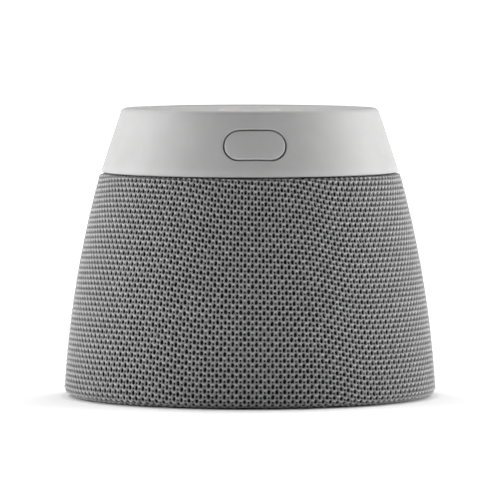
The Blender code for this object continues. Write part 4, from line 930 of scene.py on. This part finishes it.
def make_knit():
    """The whole knit as one grid of welded cells, split into sectors that keep its shared normals."""
    cell, kinds, triangles = knit_cell()
    row_height = PATH_LENGTH / KNIT_ROWS
    rows = np.arange(-3, KNIT_ROWS + 4)
    columns = np.arange(KNIT_COLUMNS)
    row_grid, column_grid = (grid.ravel() for grid in np.meshgrid(rows, columns, indexing="ij"))
    stagger = 0.5 * (row_grid % 2)

    middle_u = column_grid + stagger
    middle_angle = middle_u / KNIT_COLUMNS * 2 * math.pi - math.pi
    middle_s = (row_grid + 0.5) * row_height
    middle_s = middle_s + drift_at(middle_angle, middle_s / PATH_LENGTH)
    kept = (middle_s > -0.4 * row_height) & (middle_s < PATH_LENGTH + 0.4 * row_height)
    row_grid, column_grid, stagger = row_grid[kept], column_grid[kept], stagger[kept]
    count = len(row_grid)

    wide = 1 + 0.10 * rng.standard_normal(count)
    tall = 1 + 0.07 * rng.standard_normal(count)
    shift_u = 0.008 * rng.standard_normal(count)
    shift_v = 0.012 * rng.standard_normal(count)
    lean = 0.05 + 0.07 * rng.standard_normal(count)
    small = np.clip(1.12 + 0.16 * rng.standard_normal(count), 0.7, 1.25)
    small_floor = np.clip(0.55 + 0.10 * rng.standard_normal(count), 0.35, 0.8) * MM
    u = np.repeat(cell[None, :, 0], count, 0)
    v = np.repeat(cell[None, :, 1], count, 0)
    big = (kinds == BIG_FLOOR) | (kinds == BIG_EDGE)
    u[:, big] = u[:, big] * np.clip(wide, 0.78, 1.15)[:, None] + lean[:, None] * v[:, big] + shift_u[:, None]
    v[:, big] = v[:, big] * np.clip(tall, 0.85, 1.04)[:, None] + shift_v[:, None]
    tiny = (kinds == SMALL_FLOOR) | (kinds == SMALL_EDGE)
    u[:, tiny] = SMALL_PLACE[0] + (u[:, tiny] - SMALL_PLACE[0]) * small[:, None] + shift_v[:, None]
    v[:, tiny] = SMALL_PLACE[1] + (v[:, tiny] - SMALL_PLACE[1]) * small[:, None] + shift_u[:, None]
    rise = knit_rise(u, v)
    rise[:, kinds == BIG_FLOOR] = -BIG_HOLE_DEPTH
    rise[:, kinds == SMALL_FLOOR] = -small_floor[:, None]

    across = column_grid[:, None] + stagger[:, None] + u
    along = (row_grid[:, None] + 0.5 + v) * row_height
    angle = across / KNIT_COLUMNS * 2 * math.pi - math.pi
    drifted = along + drift_at(angle.ravel(), (along / PATH_LENGTH).ravel()).reshape(along.shape)
    points = on_sleeve(angle.ravel(), drifted.ravel(), rise.ravel())

    keys = np.arange(points.shape[0]).reshape(u.shape) + LOOSE_KEYS
    edge = kinds == BORDER
    around = 4 * KNIT_COLUMNS
    quarters = np.round((column_grid[:, None] + stagger[:, None] + cell[None, edge, 0]) * 4).astype(int)
    levels = np.round((row_grid[:, None] + 4 + cell[None, edge, 1]) * 4).astype(int)
    keys[:, edge] = quarters % around + levels * around
    _, first, index = np.unique(keys.ravel(), return_index=True, return_inverse=True)
    index = index.reshape(u.shape)
    welded = points[first]
    # height carries the yarn's painted shade: 0 is darkest, down in the holes, and 1 is palest, on the knots.
    height = np.interp(rise.ravel()[first], PAINTED_SHADE_RISES, (0, 1))
    faces = index[:, triangles]

    spread = welded[faces.reshape(-1, 3)]
    crosses = np.cross(spread[:, 1] - spread[:, 0], spread[:, 2] - spread[:, 0])
    normals = np.zeros_like(welded)
    for corner in range(3):
        np.add.at(normals, faces.reshape(-1, 3)[:, corner], crosses)
    normals /= np.maximum(np.linalg.norm(normals, axis=1), 1e-20)[:, None]

    pieces = []
    per_sector = KNIT_COLUMNS // KNIT_SECTORS
    for sector in range(KNIT_SECTORS):
        chosen = column_grid // per_sector == sector
        triangles_here = faces[chosen].reshape(-1, 3)
        used, local = np.unique(triangles_here, return_inverse=True)
        local = local.reshape(-1, 3)
        mesh = bpy.data.meshes.new(f"knit_sleeve_{sector + 1}")
        mesh.vertices.add(len(used))
        mesh.vertices.foreach_set("co", welded[used].astype(np.float32).ravel())
        mesh.loops.add(local.size)
        mesh.loops.foreach_set("vertex_index", local.astype(np.int32).ravel())
        mesh.polygons.add(len(local))
        mesh.polygons.foreach_set("loop_start", np.arange(0, local.size, 3, dtype=np.int32))
        mesh.polygons.foreach_set("use_smooth", np.ones(len(local), bool))
        mesh.update(calc_edges=True)
        # Per-point height, which the fabric look turns into painted shade and highlight.
        attribute = mesh.attributes.new("height", "FLOAT", "POINT")
        attribute.data.foreach_set("value", height[used].astype(np.float32))
        layer = mesh.uv_layers.new(name="OFBake")
        corner_u = across[chosen][:, triangles].ravel() / per_sector - sector
        corner_v = drifted[chosen][:, triangles].ravel() / PATH_LENGTH
        pairs = np.stack((corner_u, corner_v), 1) * (1 - 2 * np.array(UV_MARGINS)) + UV_MARGINS
        layer.data.foreach_set("uv", pairs.astype(np.float32).ravel())
        mesh.normals_split_custom_set_from_vertices(normals[used].astype(np.float32))
        mesh.materials.append(looks["fabric"])
        made = bpy.data.objects.new(mesh.name, mesh)
        bpy.context.scene.collection.objects.link(made)
        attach(made, "housing")
        pieces.append(made)
    return pieces


def make_sleeve():
    """Dark backing stretched over the grille frame, with the open knit in front of it."""
    knit = make_knit()
    lengths = np.linspace(BACKING_EDGE, PATH_LENGTH - BACKING_EDGE, BACKING_ROWS)
    angles = np.arange(BACKING_SIDES) * 2 * math.pi / BACKING_SIDES
    angle, length = (grid.ravel() for grid in np.meshgrid(angles, lengths, indexing="xy"))
    points = on_sleeve(angle, length, -BACKING_DEPTH)
    backing = add_piece(
        "sleeve_backing", points, bands(BACKING_ROWS, BACKING_SIDES), "fabric", stands_for=("fabric_sleeve",),
        look="sleeve_backing",
    )


# ---------------------------------------------------------------- studio

def make_world():
    """White backdrop; the room is dimmer on the camera's side than behind the speaker."""
    world = bpy.data.worlds.new("studio")
    bpy.context.scene.world = world
    world.use_nodes = True
    tree = world.node_tree
    tree.nodes.clear()
    output = tree.nodes.new("ShaderNodeOutputWorld")
    coordinates = tree.nodes.new("ShaderNodeTexCoord")
    split = tree.nodes.new("ShaderNodeSeparateXYZ")
    sideways = tree.nodes.new("ShaderNodeMath")
    sideways.operation = "ABSOLUTE"
    behind = tree.nodes.new("ShaderNodeMath")
    behind.operation = "MULTIPLY_ADD"
    behind.inputs[1].default_value = ROOM_BEHIND
    behind.inputs[2].default_value = ROOM_LEVEL
    level = tree.nodes.new("ShaderNodeMath")
    level.operation = "MULTIPLY_ADD"
    level.inputs[1].default_value = ROOM_SIDES
    room = tree.nodes.new("ShaderNodeBackground")
    backdrop = tree.nodes.new("ShaderNodeBackground")
    backdrop.inputs["Strength"].default_value = BACKDROP_LEVEL
    backdrop.inputs["Color"].default_value = (1, 1, 1, 1)
    room.inputs["Color"].default_value = (1, 1, 1, 1)
    path = tree.nodes.new("ShaderNodeLightPath")
    mix = tree.nodes.new("ShaderNodeMixShader")
    tree.links.new(coordinates.outputs["Generated"], split.inputs[0])
    tree.links.new(split.outputs["X"], sideways.inputs[0])
    tree.links.new(split.outputs["Y"], behind.inputs[0])
    tree.links.new(sideways.outputs[0], level.inputs[0])
    tree.links.new(behind.outputs[0], level.inputs[2])
    tree.links.new(level.outputs[0], room.inputs["Strength"])
    tree.links.new(path.outputs["Is Camera Ray"], mix.inputs["Fac"])
    tree.links.new(room.outputs[0], mix.inputs[1])
    tree.links.new(backdrop.outputs[0], mix.inputs[2])
    tree.links.new(mix.outputs[0], output.inputs["Surface"])


def make_floor():
    mesh = bpy.data.meshes.new("floor")
    level = cad_box[0][2]
    corners = [(x * FLOOR_SIZE, y * FLOOR_SIZE, level) for x, y in ((-1, -1), (1, -1), (1, 1), (-1, 1))]
    mesh.from_pydata(corners, [], [(0, 1, 2, 3)])
    floor = bpy.data.objects.new("floor", mesh)
    bpy.context.scene.collection.objects.link(floor)
    white = Look("studio_floor", Roughness=0.9)
    white.shader.inputs["Specular IOR Level"].default_value = 0.1
    white.colour(white.noise(0.2), grey(0.86), grey(0.88))
    distance = white.node("ShaderNodeVectorMath", operation="LENGTH")
    white.feed(distance.inputs[0], white.coordinates)
    rising = white.node("ShaderNodeMath", operation="POWER")
    rising.inputs[1].default_value = FLOOR_GLOW_POWER
    white.feed(rising.inputs[0], white.ranged(distance.outputs["Value"], 0.0, FLOOR_GLOW, *FLOOR_GLOW_RANGE))
    white.feed(white.shader.inputs["Emission Strength"], rising.outputs[0])
    white.shader.inputs["Emission Color"].default_value = (1, 1, 1, 1)
    mesh.materials.append(white.material)


def add_light(name, place, size, power):
    data = bpy.data.lights.new(name, "AREA")
    data.shape = "RECTANGLE"
    data.size, data.size_y = size
    data.energy = power
    light = bpy.data.objects.new(name, data)
    light.location = place
    light.rotation_euler = (Vector(LIGHT_AIM) - Vector(place)).to_track_quat("-Z", "Y").to_euler()
    bpy.context.scene.collection.objects.link(light)


def make_studio():
    make_world()
    make_floor()
    for name, place in SIDE_LIGHTS:
        add_light(name, place, SIDE_SIZE, SIDE_POWER)
    for name, place in TOP_LIGHTS:
        add_light(name, place, TOP_SIZE, TOP_POWER)
    data = bpy.data.cameras.new("camera")
    data.lens = CAMERA_LENS
    data.sensor_width = CAMERA_SENSOR
    data.clip_end = CLIP_END
    camera = bpy.data.objects.new("camera", data)
    across = -CAMERA_DISTANCE * math.sin(CAMERA_TURN)
    away = -CAMERA_DISTANCE * math.cos(CAMERA_TURN)
    camera.location = (across, away, CAMERA_HEIGHT)
    camera.rotation_euler = (Vector((0, 0, CAMERA_AIM)) - camera.location).to_track_quat("-Z", "Y").to_euler()
    bpy.context.scene.collection.objects.link(camera)
    bpy.context.scene.camera = camera
    bpy.context.scene.view_settings.view_transform = "Standard"


make_studio()
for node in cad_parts.values():
    slots = node.data.materials
    for index, old in enumerate(slots):
        slots[index] = looks[old.name.split(".")[0]]
make_ring()
make_front_cap()
make_cover()
make_buttons()
make_light()
make_feet()
make_sleeve()
